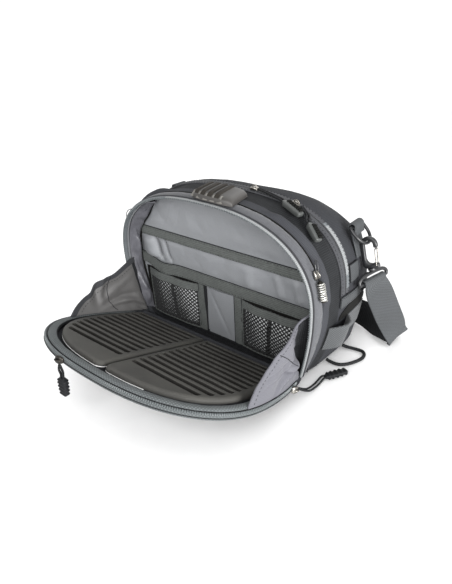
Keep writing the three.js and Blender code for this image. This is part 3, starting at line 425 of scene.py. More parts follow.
# a place on a grid by its shares along and up
def gridAt(grid, along, up):
    i, j = up * (grid.shape[0] - 1), along * (grid.shape[1] - 1)
    a, b = min(int(i), grid.shape[0] - 2), min(int(j), grid.shape[1] - 2)
    p, q = i - a, j - b
    return (grid[a, b] * (1 - p) * (1 - q) + grid[a + 1, b] * p * (1 - q) + grid[a, b + 1] * (1 - p) * q
            + grid[a + 1, b + 1] * p * q)


def pointAt(points, reach, mark):
    return np.array([np.interp(mark, reach, points[:, k]) for k in range(3)])


# short stitches sunk a little into the cloth along a path
def stitches(heap, path, normals, tag, thick=0.45, length=3.0, gap=1.6):
    path = np.asarray(path, float)
    normals = np.broadcast_to(np.asarray(normals, float), path.shape)
    reach = lengths(path)
    faces = [[0, 2, 1], [0, 3, 2], [0, 4, 3], [0, 1, 4], [5, 1, 2], [5, 2, 3], [5, 3, 4], [5, 4, 1]]
    start = 0.0
    while start + length < reach[-1]:
        ends = np.array([pointAt(path, reach, mark) for mark in (start, start + length)])
        normal = unit(pointAt(normals, reach, start))
        side = np.cross(unit(ends[1] - ends[0]), normal)
        middle = ends.mean(0)
        heap.put(tag, ([ends[0], middle + side * thick, middle + normal * thick, middle - side * thick,
                        middle - normal * thick, ends[1]], faces))
        start += length + gap


# small rounded blocks in a row, as a zip's coil shows them
def coilTeeth(heap, path, normals, tag, pitch=2.2, long=1.3, wide=2.6, high=1.0):
    path = np.asarray(path, float)
    normals = np.broadcast_to(np.asarray(normals, float), path.shape)
    reach = lengths(path)
    levels = ((-0.3, 1), (high * 0.6, 1), (high, 0.55))  # height and share of the full size
    faces = [[0, 3, 2, 1], [8, 9, 10, 11]]
    for k in (0, 4):
        faces += [[k + i, k + (i + 1) % 4, k + 4 + (i + 1) % 4, k + 4 + i] for i in range(4)]
    for mark in np.arange(pitch / 2, reach[-1], pitch):
        at = pointAt(path, reach, mark)
        ahead = pointAt(path, reach, min(mark + 0.5, reach[-1]))
        behind = pointAt(path, reach, max(mark - 0.5, 0))
        normal = unit(pointAt(normals, reach, mark))
        along = unit(ahead - behind)
        side = unit(np.cross(along, normal))
        verts = [at + along * a * long / 2 * s + side * b * wide / 2 * s + normal * h
                 for h, s in levels for a, b in ((-1, -1), (1, -1), (1, 1), (-1, 1))]
        heap.put(tag, (verts, faces))


# the bag's D-shaped cross-sections, a row for each depth
sectionNames = ["y", "lean", "belly", "bellyZ", "crown", "foot", "footZ", "corner", "round"]
sectionRows = np.array([
    [-83, -0.079, 150, 102, 216.6, 141, 13, 8, 2.5],
    [-68, -0.075, 154, 100, 219, 136, 0, 12, 2.55],
    [-38, 0, 157.5, 98, 218, 140, 0, 12, 2.65],
    [0, 0, 160, 95, 216, 144, 0, 12, 2.8],
    [30, 0, 158.5, 92, 208, 146.5, 0, 12, 2.8],
    [55, 0, 153, 88, 197, 145, 0, 12, 2.8],
    [70, 0, 146, 84, 185, 139, 0.8, 12, 2.8],
    [79, 0, 132, 80, 166, 126, 6, 12, 2.8],
])
sectionSlopes = np.gradient(sectionRows, sectionRows[:, 0], axis=0)
steps = {"corner": 6, "side": 18, "arch": 40, "floor": 30}
footIndex = steps["corner"]
bellyIndex = steps["corner"] + steps["side"]
halfCount = bellyIndex + steps["arch"] + 1
archCount = 2 * halfCount - 1  # points from foot to foot over the crown


def sectionAt(y):
    ys = sectionRows[:, 0]
    y = min(max(y, ys[0]), ys[-1])
    i = min(max(int(np.searchsorted(ys, y)) - 1, 0), len(ys) - 2)
    gap = ys[i + 1] - ys[i]
    t = (y - ys[i]) / gap
    values = ((2 * t ** 3 - 3 * t * t + 1) * sectionRows[i]
              + (t ** 3 - 2 * t * t + t) * gap * sectionSlopes[i]
              + (3 * t * t - 2 * t ** 3) * sectionRows[i + 1]
              + (t ** 3 - t * t) * gap * sectionSlopes[i + 1])
    section = dict(zip(sectionNames, values))
    section["footZ"] = max(section["footZ"], 0)
    return section


# half width of a section at a height
def halfWidthAt(s, z, inset=0.0):
    if z < s["bellyZ"]:
        share = (z - s["footZ"] - s["corner"]) / (s["bellyZ"] - s["footZ"] - s["corner"])
        return s["foot"] - inset + (s["belly"] - s["foot"]) * sin(max(share, 0) * pi / 2)
    rise = min((z - s["bellyZ"]) / (s["crown"] - inset - s["bellyZ"]), 1)
    return (s["belly"] - inset) * (1 - rise ** s["round"]) ** (1 / s["round"])


def archHeight(s, x):
    share = min(abs(x) / s["belly"], 1)
    return s["bellyZ"] + (s["crown"] - s["bellyZ"]) * (1 - share ** s["round"]) ** (1 / s["round"])


# outline as x and z from the right foot over the crown to the left foot, then back along the floor
def outline(s, inset=0.0, swell=0.0, floor=True):
    radius = s["corner"] - inset * 0.6
    low, foot = s["footZ"] + inset, s["foot"] - inset
    belly, crown = s["belly"] - inset + swell, s["crown"] - inset + swell
    turn = np.linspace(0, pi / 2, steps["corner"] + 1)
    corner = np.stack([foot - radius + radius * np.sin(turn), low + radius - radius * np.cos(turn)], 1)
    share = np.linspace(0, 1, steps["side"] + 1)[1:]
    side = np.stack([foot + (belly - foot) * np.sin(share * pi / 2),
                     low + radius + (s["bellyZ"] - low - radius) * share], 1)
    turn = np.linspace(0, pi / 2, steps["arch"] + 1)[1:]
    arch = np.stack([belly * np.maximum(np.cos(turn), 0) ** (2 / s["round"]),
                     s["bellyZ"] + (crown - s["bellyZ"]) * np.sin(turn) ** (2 / s["round"])], 1)
    arch[-1, 0] = 0
    half = np.concatenate([corner, side, arch])
    whole = np.concatenate([half, half[-2::-1] * [-1, 1]])
    if floor:
        xs = np.linspace(-half[0, 0], half[0, 0], steps["floor"] + 1)[1:-1]
        whole = np.concatenate([whole, np.stack([xs, np.full(len(xs), low)], 1)])
    return whole


swellFade = {"foot": (100, 130), "crown": (66, 90)}


def fade(values, low, high):
    t = np.clip((np.asarray(values, float) - low) / (high - low), 0, 1)
    return t * t * (3 - 2 * t)


def outlineAt(y, inset=0.0, swell=0.0, floor=True):
    s = sectionAt(y)
    plain = outline(s, inset, 0, floor)
    if swell:
        puffed = outline(s, inset, swell, floor)
        pressed = np.where(plain[:, 1] > s["bellyZ"] + 60, fade(np.abs(plain[:, 0]), *swellFade["crown"]), 1)
        share = (fade(plain[:, 1], *swellFade["foot"]) * pressed)[:, None]
        plain = plain * (1 - share) + puffed * share
    return np.stack([plain[:, 0], y + s["lean"] * plain[:, 1], plain[:, 1]], 1)


# a cloth wall right round the bag: rows of depth, outset and swell; its inside takes the second material and
# the fourth near the foot, painted shade in the pocket's walls; its seams are black tubes of painted shade
def bodyWall(name, rows, look, materials, tags=None, seams=()):
    outer = np.array([outlineAt(y, -out, swell) for y, out, swell in rows])
    inner = np.array([outlineAt(y, look["wall"], swell) for y, out, swell in rows[::-1]])
    normals = gridNormals(outer)
    normals *= np.sign(np.sum(normals * (outer - [0, 0, 90]) * [1, 0, 1], axis=2, keepdims=True))
    plain = outer
    for size, depth, seed in look["dents"]:  # mostly inward, so what is sewn on stays clear
        ridge = np.minimum(ripple(outer, size, seed), 0.12) * depth * fade(outer[:, :, 2], 4, 30)
        outer = outer + normals * ridge[:, :, None]
    grid = np.concatenate([outer, inner + (outer - plain)[::-1]])  # the inside follows every dent
    chosen = []
    for i, row in enumerate(grid):
        for point in row:
            inside = 3 if point[2] < 22 else 1  # painted shade at the pocket's foot
            chosen.append((tags[i] if tags else 0) if i < len(rows) - 1 else inside)
    heap = Heap().put(chosen, gridSkin(grid, closeRows=True, closeCols=True, flip=True))
    for y, inset, radius in seams:
        line = outlineAt(y, inset, floor=False)
        line = line[line[:, 2] > 140]  # sunk over the top, flat at the sides
        # painted shade: a black tube along the seam's groove
        heap.put(4, tube(line, radius * np.sin(np.linspace(0.1, pi - 0.1, len(line))) ** 0.4, 8))
    heap.make(name, materials, "shell")


openingY = -83  # the front opening's edge
frontBand = {"back": -68.2, "crownOut": 1.2, "tuck": 1.6, "wall": 2.5, "dents": [(34, 1.1, 1), (12, 0.35, 2)],
             "seam": (-68.3, 0.8, 1.5)}
frontDepths = np.linspace(openingY, frontBand["back"], 11)
frontShare = (frontDepths - frontDepths[0]) / (frontDepths[-1] - frontDepths[0])
frontOut = frontBand["crownOut"] * np.sin(pi * frontShare) - frontBand["tuck"] * fade(frontShare, 0.86, 1)
bodyWall("frontGusset", [(y, out, 0) for y, out in zip(frontDepths, frontOut)], frontBand,
         [packCloth, liningCloth, shadowCloth, puffClothShaded, shadeAndTeethBlack], seams=[frontBand["seam"]])

puffBand = {  # depth and swell of the padded band and of the sunk strip behind it
    "rows": [(-67.8, -1.2), (-67.2, 1.2), (-66, 2.8), (-64.4, 4.2), (-62.5, 4.7), (-60.6, 4.2), (-59.2, 2.6),
             (-58.2, 0), (-57.2, -2.4), (-55, -3), (-50, -3.1), (-46, -2.8), (-42, -1.6), (-39.6, -0.4),
             (-38.2, -0.2)],
    "sunkFrom": -57.5, "wall": 2.5, "dents": [(30, 1.0, 3), (11, 0.4, 4)],
}
# the padded band takes the padded copy with painted shade, its sunk strip near-black painted shade
bodyWall("middlePocket", [(y, 0, swell) for y, swell in puffBand["rows"]], puffBand,
         [puffClothShaded, liningCloth, shadowCloth, shadowCloth],
         [0 if y < puffBand["sunkFrom"] else 2 for y, _ in puffBand["rows"]])

mainShell = {"y": (-37.8, 79.0), "rows": 46, "wall": 3, "seam": 1.3, "seamTo": -33,
             "dents": [(70, 3.0, 5), (26, 1.2, 6)]}
mainDepths = np.linspace(*mainShell["y"], mainShell["rows"])
mainOut = -mainShell["seam"] * (1 - fade(mainDepths, mainShell["y"][0], mainShell["seamTo"]))
# the main body takes the deeper copy of the cloth, painted shade
bodyWall("mainBody", [(y, out, 0) for y, out in zip(mainDepths, mainOut)], mainShell,
         [bodyClothShaded, liningCloth, shadowCloth, liningCloth])

backPad = {  # depth and inset of the padded edge, and the shares by which it closes to its middle
    "rows": [(79.3, 0), (80.5, 0.1), (82.5, 0.9), (84.5, 2.4), (86.5, 5), (88.2, 9), (89.3, 13), (90, 18)],
    "shrink": (0.85, 0.65, 0.45, 0.25, 0.08), "middle": (0, 78),
}


def shrunk(ring, share, y):
    x, z = backPad["middle"]
    return np.stack([x + (ring[:, 0] - x) * share, np.full(len(ring), y), z + (ring[:, 2] - z) * share], 1)


backRings = [shrunk(outlineAt(79, inset), 1, y) for y, inset in backPad["rows"]]
backRings = [shrunk(backRings[0], k, 79.3) for k in backPad["shrink"][::-1]] + backRings
backRings += [shrunk(backRings[-1], k, 90 + 1.2 * (1 - k)) for k in backPad["shrink"]]
backRings = np.array(backRings)
backRings[6:, :, 1] += ripple(backRings[6:], 40, 7) * 1.2 * fade(backRings[6:, :, 1], 80, 90)
# the back takes the deeper copy of the cloth, painted shade
backPanel = Heap().put(0, stacked(backRings)).make("backPanel", [bodyClothShaded], "shell")
print("body walls sewn")


# zips around the front opening and over the top
def archLine(y, inset, forward=0.0, start=footIndex):
    return outlineAt(y, inset, floor=False)[start:archCount - start] - [0, forward, 0]


def swept(lines):
    return stacked(np.transpose(np.array(lines), (1, 0, 2)))


frontZipShape = {  # how far forward of the opening's edge and how far inside it
    "tape": [(0.4, -0.4), (1.4, -1.1), (3.0, -1.3), (4.6, -1.3), (5.8, -0.9), (6.3, 0.1), (5.8, 1.3),
             (4.6, 2.0), (1.2, 2.1), (0.4, 1.4)],
    "tones": (1, 1, 0, 0, 0, 0, 3, 3, 3, 3),  # dark by the body, silver with a painted glint in front, the glint's duller copy within
    "dullFrom": -48,  # the tape turns from the light left of here
    "cords": [(0.9, -1.3, 0.9), (3.5, -1.4, 0.4)],  # piping and groove, with their radius; the groove's dark tube is painted shade
    "teeth": (6.1, 0.9),
}
zipTags = [tone or (3 if x < frontZipShape["dullFrom"] else 0) for x in archLine(openingY, 0)[:-1, 0]
           for tone in frontZipShape["tones"]]
tapeLines = [archLine(openingY, inset, forward) for forward, inset in frontZipShape["tape"]]
heap = Heap().put(zipTags, swept(tapeLines))
for forward, inset, radius in frontZipShape["cords"]:
    heap.put(1, tube(archLine(openingY, inset, forward), radius, 8))
forward, inset = frontZipShape["teeth"]
coilTeeth(heap, archLine(openingY, inset, forward), (0, -1, 0), 2, pitch=3.4, long=1.5, wide=2.0)
heap.make("frontZip", [zipTapeGlint, hemTape, zipCoil, zipTapeGlintFaded], "zip")

mainZipShape = {  # depth and lift of the tape's upper side
    "tape": [(-38, 0.4), (-37.5, 1.5), (-34.5, 1.7), (-31.2, 1.6), (-30.6, 1.0), (-29.5, 0.8), (-28.4, 1.0),
             (-27.8, 1.6), (-24.5, 1.7), (-21.5, 1.5), (-21, 0.4), (-21, 0.25), (-38, 0.25)],
    "y": -29.5, "seams": (-36.2, -22.8),
    "glintStrips": (7, 8), "glintFull": (134, 189), "dull": (122, 194),  # which strips carry a painted glint, and the heights where it is full and where it fades
}
zipStart = bellyIndex + 2
zipTags = []
for _, _, high in archLine(-24.5, -1.7, 0, zipStart)[:-1]:
    glint = 4 if mainZipShape["dull"][0] < high < mainZipShape["dull"][1] else 0
    glint = 3 if mainZipShape["glintFull"][0] < high < mainZipShape["glintFull"][1] else glint
    zipTags += [glint if k in mainZipShape["glintStrips"] else 0 for k in range(len(mainZipShape["tape"]))]
heap = Heap().put(zipTags, swept([archLine(y, -lift, 0, zipStart) for y, lift in mainZipShape["tape"]]))
coilLine = archLine(mainZipShape["y"], -0.8, 0, zipStart)
coilNormals = unit(archLine(mainZipShape["y"], -5, 0, zipStart) - coilLine)
coilTeeth(heap, coilLine, coilNormals, 1, wide=2.8, high=0.9)
for y in mainZipShape["seams"]:
    stitches(heap, archLine(y, -1.75, 0, zipStart), coilNormals, 2)
for side in bothSides.values():  # the tape's ends are sewn down in a U
    bow = [(mainZipShape["y"] + 9.2 * cos(a), 118 - 11 * sin(a)) for a in np.linspace(0, pi, 15)]
    bow = [(-20.3, 140), (-20.3, 128)] + bow + [(-38.7, 128)]
    line = [(side * (halfWidthAt(sectionAt(y), z) + 0.5), y, z) for y, z in bow]
    heap.put(2, tube(smoothPath(line, 60), 0.8, 6))
heap.make("mainZip", [zipTapeDark, blackNylon, threadAndShadeLine, zipTapeGlint, zipTapeGlintFaded], "zip")
print("zips sewn")

# front pocket: lined wall, two tape bands, nets and a centre panel
wall = {"y": -61.5, "lean": 0.0665, "inset": 2.8, "thickness": 2, "rows": 70, "cols": 220, "footRows": 3,
        "loose": [((103, 110), (130, 139)), ((153, 166), (190, 205))],  # heights between and above the bands
        "crumples": [(42, 11, 3), (15, 12, 0.9)]}  # size, seed and height
leftDraw = {"all": 8, "more": 8, "z": 172, "tall": 18, "from": (10, 40), "to": (185, 208)}
wallSection = sectionAt(-60.5)


def wallPoint(x, z, forward):
    return together(x, wall["y"] - wall["lean"] * z - forward, z)


def wallHalf(z, inset):
    s = wallSection
    radius, low = s["corner"] - inset * 0.6, s["footZ"] + inset
    half = halfWidthAt(s, z, inset)
    if z < low + radius:
        rounding = sqrt(max(radius ** 2 - (low + radius - z) ** 2, 0))
        half = min(half, s["foot"] - inset - radius + rounding)
    return half


# the lining draws the wall's left edge in, most at the upper corner
def leftInset(z):
    z = np.asarray(z, float)
    drawn = leftDraw["all"] + leftDraw["more"] * np.exp(-((z - leftDraw["z"]) / leftDraw["tall"]) ** 2)
    return drawn * fade(z, *leftDraw["from"]) * (1 - fade(z, *leftDraw["to"]))


def wallEdge(z, side):
    return wallHalf(z, wall["inset"]) - (leftInset(z) if side < 0 else 0)


wallLow, wallHigh = wallSection["footZ"] + wall["inset"], wallSection["crown"] - wall["inset"] - 0.02
wallZ = np.linspace(wallLow, wallHigh, wall["rows"])
wallX = np.array([np.linspace(-wallEdge(z, -1), wallEdge(z, 1), wall["cols"]) for z in wallZ])
wallZ = np.broadcast_to(wallZ[:, None], wallX.shape)
betweenBands, aboveBands = (fade(wallZ, *low) * (1 - fade(wallZ, *high)) for low, high in wall["loose"])
wallFolds = [  # place, height and width of each soft fold between the bands
    (-121, 6, 14), (-107, -11, 4.4), (-90, -7, 3.0), (-20, 1.0, 12), (48, 1.4, 8), (92, 2.4, 5),
    (118, 3.0, 5),
]
slant = 0.3 * (wallZ - 120)
forward = sum(h * np.exp(-((wallX - x + slant) / w) ** 2) for x, h, w in wallFolds) * betweenBands
flatWall = wallPoint(wallX, wallZ, 0)
crumples = sum(np.abs(ripple(flatWall, size, seed)) * tall for size, seed, tall in wall["crumples"])
forward = forward + crumples * (betweenBands + aboveBands)
edgeFade = np.clip((1 - np.abs(np.linspace(-1, 1, wall["cols"])))[None, :] * 12, 0, 1)
lining = shell(wallPoint(wallX, wallZ, forward * edgeFade - wall["thickness"] / 2), wall["thickness"])
wallRows = [k // (wall["cols"] - 1) % (wall["rows"] - 1) for k in range(len(lining[1]))]
heap = Heap().put([2 if row < wall["footRows"] else 0 for row in wallRows], lining)  # painted shade along the foot
edgeRow = sectionAt(openingY)
sideLining = {"z": (12, 196), "y": -80, "inset": 2.9, "gap": 0.4, "cloth": 1.2, "slack": 1.5, "heldTo": 40,
              "folds": [(9.0, 15, 17), (3.0, 7, 18)],  # height, size and seed
              "corner": (16, 190), "cornerRadius": 1.9}
for side in bothSides.values():  # lining from the opening's edge back to the wall, in loose folds
    high = np.linspace(*sideLining["z"], 80)[:, None]
    share = np.linspace(0, 1, 16)[None, :]
    start = np.array([halfWidthAt(edgeRow, z, sideLining["inset"]) for z in high[:, 0]])[:, None]
    end = np.array([wallEdge(z, side) for z in high[:, 0]])[:, None]
    x = start + (end - start) * share
    y = (sideLining["y"] + edgeRow["lean"] * high) * (1 - share)
    y = y + (wall["y"] - wall["lean"] * high - sideLining["gap"]) * share
    sideGrid = together(x, y, high)
    slope = sideGrid * [1, 1, 0.55] + [0, 0, 0.8] * sideGrid[:, :, 1:2]  # folds run down and back
    folds = sideLining["slack"]
    for tall, size, seed in sideLining["folds"]:
        folds = folds + tall * np.abs(ripple(slope, size, seed))
    sideGrid[:, :, 0] -= folds * np.sin(pi * share) * fade(high, sideLining["z"][0], sideLining["heldTo"])
    # painted shade: near black on the right, a darker satin on the left
    heap.put(2 if side > 0 else 1, shell(sideGrid * [side, 1, 1], sideLining["cloth"]))
    corner = [(side * (wallEdge(z, side) - 1.2), wall["y"] - wall["lean"] * z - 1.6, z)
              for z in np.linspace(*sideLining["corner"], 60)]
    cornerRadius = sideLining["cornerRadius"] * np.sin(np.linspace(0.15, pi - 0.15, 60)) ** 0.5
    heap.put(3, tube(corner, cornerRadius, 8))  # painted shade: a black tube in the deep corner
heap.make("pocketWall", [liningCloth, satinShade, shadowCloth, shadeAndTeethBlack], "lining")

tapeBands = [  # name, middle height, height, how far its left end is pulled up
    ("upperBand", 145, 13, 0.0),
    ("pocketBand", 95, 17, 6.0),
]
bandPull = {"peak": -138, "dip": -98, "wide": 17, "dipShare": 0.45, "ease": 0.5, "easeWide": 22}
for bandName, middle, height, pull in tapeBands:
    share = np.linspace(0, 1, 12)[:, None]
    reach = wallHalf(middle, 4.5)
    xs = np.linspace(-reach + leftInset(middle), reach, 100)[None, :]
    peak, dip = (np.exp(-((xs - bandPull[key]) / bandPull["wide"]) ** 2) for key in ("peak", "dip"))
    rise = pull * (peak - bandPull["dipShare"] * dip)
    z = middle - height / 2 + rise + height * share
    ease = 1.2 + 0.9 * np.abs(ripple(wallPoint(xs, z, 0), 22, 13))
    ease = ease + bandPull["ease"] * pull * np.exp(-((xs - bandPull["dip"]) / bandPull["easeWide"]) ** 2)
    heap = Heap().put(0, shell(wallPoint(xs, z, ease), 1.7))
    for row in (1, 10):
        stitches(heap, wallPoint(xs, z, ease + 0.95)[row], (0, -1, 0), 1, 0.35)
    for row in (0, 11):  # a dark shadow line where the tape's edge stands off
        heap.put(1, tube(wallPoint(xs, z, ease - 0.5)[row], 0.7, 6))
    heap.make(bandName, [loopTape, threadAndShadeLine], "tape")

netPocket = {"inner": 38, "outer": 130, "foot": 10, "top": 84, "bulge": 11, "pitch": 6.0, "yarn": 0.9,
             "mouth": 11}


def netPoint(across, up, lift=0.0):
    p, share = netPocket, np.clip(across, 0, 1)
    slack = np.sin(pi * share) * (0.8 + 0.2 * np.sin(3 * pi * share))
    bulge = p["bulge"] * slack * np.sin(pi * (0.12 + 0.68 * up))
    x = p["inner"] + (p["outer"] - p["inner"]) * across
    return wallPoint(x, p["foot"] + (p["top"] - p["foot"]) * up, 0.9 + bulge + lift)


netWide, netTall = netPocket["outer"] - netPocket["inner"], netPocket["top"] - netPocket["foot"]
binding = {"x": (25, 37.4), "wide": 12.4, "z": (10, 86), "edges": (25.2, 37.2)}
for sideName, side in bothSides.items():
    heap = Heap()
    for slant in (1, -1):
        for k in np.arange(-netTall, netWide + netTall, netPocket["pitch"]):
            v = np.linspace(0, netTall, 40)
            u = k + slant * v + 0.4 * np.sin(2 * pi * v / 6)  # each yarn swings in and out of its knots
            shown = (u >= 0) & (u <= netWide)
            if shown.sum() >= 3:
                line = netPoint(u[shown] / netWide, v[shown] / netTall, 0.35 * slant)
                heap.put(0, tube(line, netPocket["yarn"], 5))
    u, v = np.meshgrid(np.linspace(0.02, 0.98, 47), np.linspace(0.02, 0.93, 36))
    # a sheet just behind the yarn, painted light where pale and painted shade where black
    backing = shell(netPoint(u, v, -1.5), 0.5)
    u, v = u[:-1, :-1], v[:-1, :-1]
    lit = (u < 0.84 - 0.25 * np.maximum(0.35 - v, 0)) & (v > 0.05)
    lit &= np.abs(u - 0.44 - 0.05 * v) > 0.035  # painted shade: black in the fold and at the outer side, painted light elsewhere
    tones = [3 if pale else 2 for pale in lit.ravel()] * 2
    heap.put(tones + [2] * (len(backing[1]) - len(tones)), backing)
    mouth = np.linspace(1 - netPocket["mouth"] / netTall, 1, 7)[:, None]
    heap.put(1, shell(netPoint(np.linspace(0, 1, 40)[None, :], mouth, 0.9), 1.4))
    for edge in (0.0, 1.0):  # bound sides and foot
        heap.put(1, tube(netPoint(np.full(20, edge), np.linspace(0, 1, 20), 0.3), 1.1, 8))
    heap.put(1, tube(netPoint(np.linspace(0, 1, 40), np.zeros(40), 0.3), 1.1, 8))
    xs, z = np.linspace(netPocket["inner"], 137, 30)[None, :], np.linspace(9, 86.5, 20)[:, None]
    heap.put(2, shell(wallPoint(xs, z, 0.45), 0.5))  # painted shade: a black sheet on the wall behind the net
    heap.make("netPocket" + sideName, [netYarn, loopTape, shadeAndTeethBlack, netGlint], "lining", side)

    xs, z = np.linspace(*binding["x"], 10)[None, :], np.linspace(*binding["z"], 40)[:, None]
    ease = 1.0 + 0.8 * np.abs(ripple(wallPoint(xs, z, 0), 18, 15 + side))
    ease = ease + 0.8 * np.sin(pi * (xs - binding["x"][0]) / binding["wide"])
    heap = Heap().put(0, shell(wallPoint(xs, z, ease), 1.6))
    z = np.linspace(*binding["z"], 20)
    for x in binding["edges"]:  # painted shade: dark edges, widest where the left pocket stands off
        radius = 0.8 + (1.4 if x < 30 and side < 0 else 0) * fade(z, 30, 70)
        heap.put(1, tube(wallPoint(np.full(20, x - 0.6), z, 1.4), radius, 8))
    heap.make("pocketBinding" + sideName, [loopTape, threadAndShadeLine], "tape", side)

centrePanel = {"x": 1.2, "half": 22.6, "foot": 10, "top": 85, "ease": 2.6, "crease": 1.8}
xs = np.linspace(-1, 1, 40)[None, :] * centrePanel["half"] + centrePanel["x"]
z = np.linspace(centrePanel["foot"], centrePanel["top"], 46)[:, None]
share = (z - centrePanel["foot"]) / (centrePanel["top"] - centrePanel["foot"])
ease = 0.9 + centrePanel["ease"] * share * np.cos((xs - centrePanel["x"]) / centrePanel["half"] * pi / 2)
ease = ease - centrePanel["crease"] * np.exp(-((xs - 18 + 34 * share) / 3.2) ** 2) * np.sin(pi * share)
Heap().put(0, shell(wallPoint(xs, z, ease), 1.2)).make("centrePocket", [liningCloth], "lining")
print("pocket lined")

# the open door
door = {"tilt": 20, "y": -90.5, "z": 14}
doorSection = {"lean": 0, "belly": 150, "bellyZ": 91.5, "crown": 210.7, "foot": 141, "footZ": 1, "corner": 8,
               "round": 2.5}


def flapPoint(x, out, height):
    c, s = cos(radians(door["tilt"])), sin(radians(door["tilt"]))
    return together(x, door["y"] - c * out + s * height, door["z"] + s * out + c * height)


def doorLine(inset, height, start=footIndex):
    pairs = outline(doorSection, inset, floor=False)[start:archCount - start]
    return flapPoint(pairs[:, 0], pairs[:, 1], height)


doorPanel = {"inset": 3.2, "bottom": -5.5, "top": -3.2, "shrink": (0.97, 0.85, 0.68, 0.5, 0.32, 0.16, 0.04)}


def doorRing(share, height):
    pairs = outline(doorSection, doorPanel["inset"])
    return flapPoint(pairs[:, 0] * share, 100 + (pairs[:, 1] - 100) * share, height)


under = np.array([doorRing(k, doorPanel["bottom"] - 1.0 * (1 - k)) for k in doorPanel["shrink"][::-1]])
under[:, :, 2] += np.abs(ripple(under, 45, 21)) * 1.6
doorRings = list(under) + [doorRing(1, doorPanel["bottom"] + 0.6), doorRing(1, doorPanel["top"] - 0.4)]
doorRings += [doorRing(k, doorPanel["top"]) for k in doorPanel["shrink"]]
# the door panel takes the deeper copy of the cloth, painted shade
Heap().put(0, stacked(doorRings)).make("flapPanel", [bodyClothShaded], "shell")

hingeCloth = {"left": -146, "right": 139.5, "y": -84.4, "z": 14.5, "run": 11.2, "fall": 3.4, "sag": 2.2,
              "thickness": 1.8, "leftRun": (6, 112, 134), "leftLift": (7, 130, 143)}
xs = np.linspace(hingeCloth["left"], hingeCloth["right"], 90)[None, :]
share = np.linspace(0, 1, 12)[:, None]
(run, *runFrom), (lift, *liftFrom) = hingeCloth["leftRun"], hingeCloth["leftLift"]
hingeSag = (hingeCloth["sag"] - lift * fade(-xs, *liftFrom)) * np.sin(pi * share)
hingeY = hingeCloth["y"] - share * (hingeCloth["run"] + run * fade(-xs, *runFrom))
hingeZ = hingeCloth["z"] - share * hingeCloth["fall"] - hingeSag
hingeGrid = together(xs, hingeY, hingeZ)
hingeGrid[:, :, 2] += ripple(hingeGrid, 14, 22) * 1.4 * np.sin(pi * share)
# the hinge takes the padded copy of the cloth, painted shade
Heap().put(0, shell(hingeGrid, hingeCloth["thickness"])).make("flapHinge", [puffClothShaded], "shell")

rimRoll = {"inset": 3.2, "width": 10.4, "bottom": -2.8, "top": 4.4, "steps": 22, "shaded": range(8, 14),
           "ends": (0.35, 0.7, 0.9)}
rollHalf, rollTall = rimRoll["width"] / 2, (rimRoll["top"] - rimRoll["bottom"]) / 2
rimLines = []
for turn in fullTurn(rimRoll["steps"]):
    across, up = squarish(cos(turn), 0.75) * rollHalf, squarish(sin(turn), 0.8) * rollTall
    rimLines.append(doorLine(rimRoll["inset"] + rollHalf - across, rimRoll["bottom"] + rollTall + up))
rimGrid = np.transpose(np.array(rimLines), (1, 0, 2))
rimMiddle = rimGrid.mean(axis=1, keepdims=True)
rimGrid = rimMiddle + (rimGrid - rimMiddle) * (1 + 0.1 * ripple(rimGrid, 16, 23))[:, :, None]
for k, share in enumerate(rimRoll["ends"]):
    for row in (k, -1 - k):
        rimGrid[row] = rimMiddle[row] + (rimGrid[row] - rimMiddle[row]) * share
rimTags = [int(k in rimRoll["shaded"]) for k in range(rimRoll["steps"])] * (len(rimGrid) - 1)
flapRim = Heap().put(rimTags, stacked(rimGrid)).make("flapRim", [rimMesh, shadowCloth], "shell")

flapZipShape = {  # inset and height
    "tape": [(0.6, -5.4), (0.1, -4.6), (0, -1), (0.2, 0.8), (0.8, 1.5), (1.9, 1.5), (2.6, 0.9), (2.8, -1),
             (2.8, -5.4)],
    "lines": [(-0.1, -3.2, 0.5), (3.0, 1.3, 0.8)],  # seam and groove, with their radius; the groove's dark tube is painted shade
}
heap = Heap().put(0, swept([doorLine(inset, height) for inset, height in flapZipShape["tape"]]))
zipEdge = doorLine(0.4, 1.1)
edgeOut = unit(doorLine(-3, 3.5) - zipEdge)
coilTeeth(heap, zipEdge, edgeOut, 1, wide=2.4, high=0.8, pitch=2.4)
for inset, height, radius in flapZipShape["lines"]:
    heap.put(2, tube(doorLine(inset, height), radius, 6))
heap.make("flapZip", [rimMesh, zipCoil, threadAndShadeLine], "zip")
print("door sewn")

# slit foam pads: a soft-edged slab laid out in rows, with rows at every lip of every slit
pad = {"inset": 18.5, "bottom": -2.8, "film": (0.5, 1.4), "top": 7, "start": 12, "middle": 1.5, "corner": 10,
       "nearCorner": 6, "edge": 5.2, "columns": 104, "pitch": 2.4, "crownRows": 24}
slit = {"count": 12, "first": 24, "pitch": 12, "half": 3.2, "depth": 4.6, "side": 13, "lip": 0.9,
        "clear": 4.5, "rows": (4.3, 3.75, 3.4, 3.2, 2.9, 1.5, 0)}
padCrown = doorSection["crown"] - pad["inset"]


def padReach(out):
    r, past = pad["nearCorner"], pad["start"] + pad["nearCorner"] - out
    reach = halfWidthAt({**doorSection, "footZ": 0}, out, pad["inset"])
    return reach - (r - sqrt(max(r * r - past ** 2, 0))) if past > 0 else reach


def padInner(out):
    r, past = pad["corner"], out - (padCrown - pad["corner"])
    return pad["middle"] + (r - sqrt(max(r * r - past * past, 0)) if past > 0 else 0)


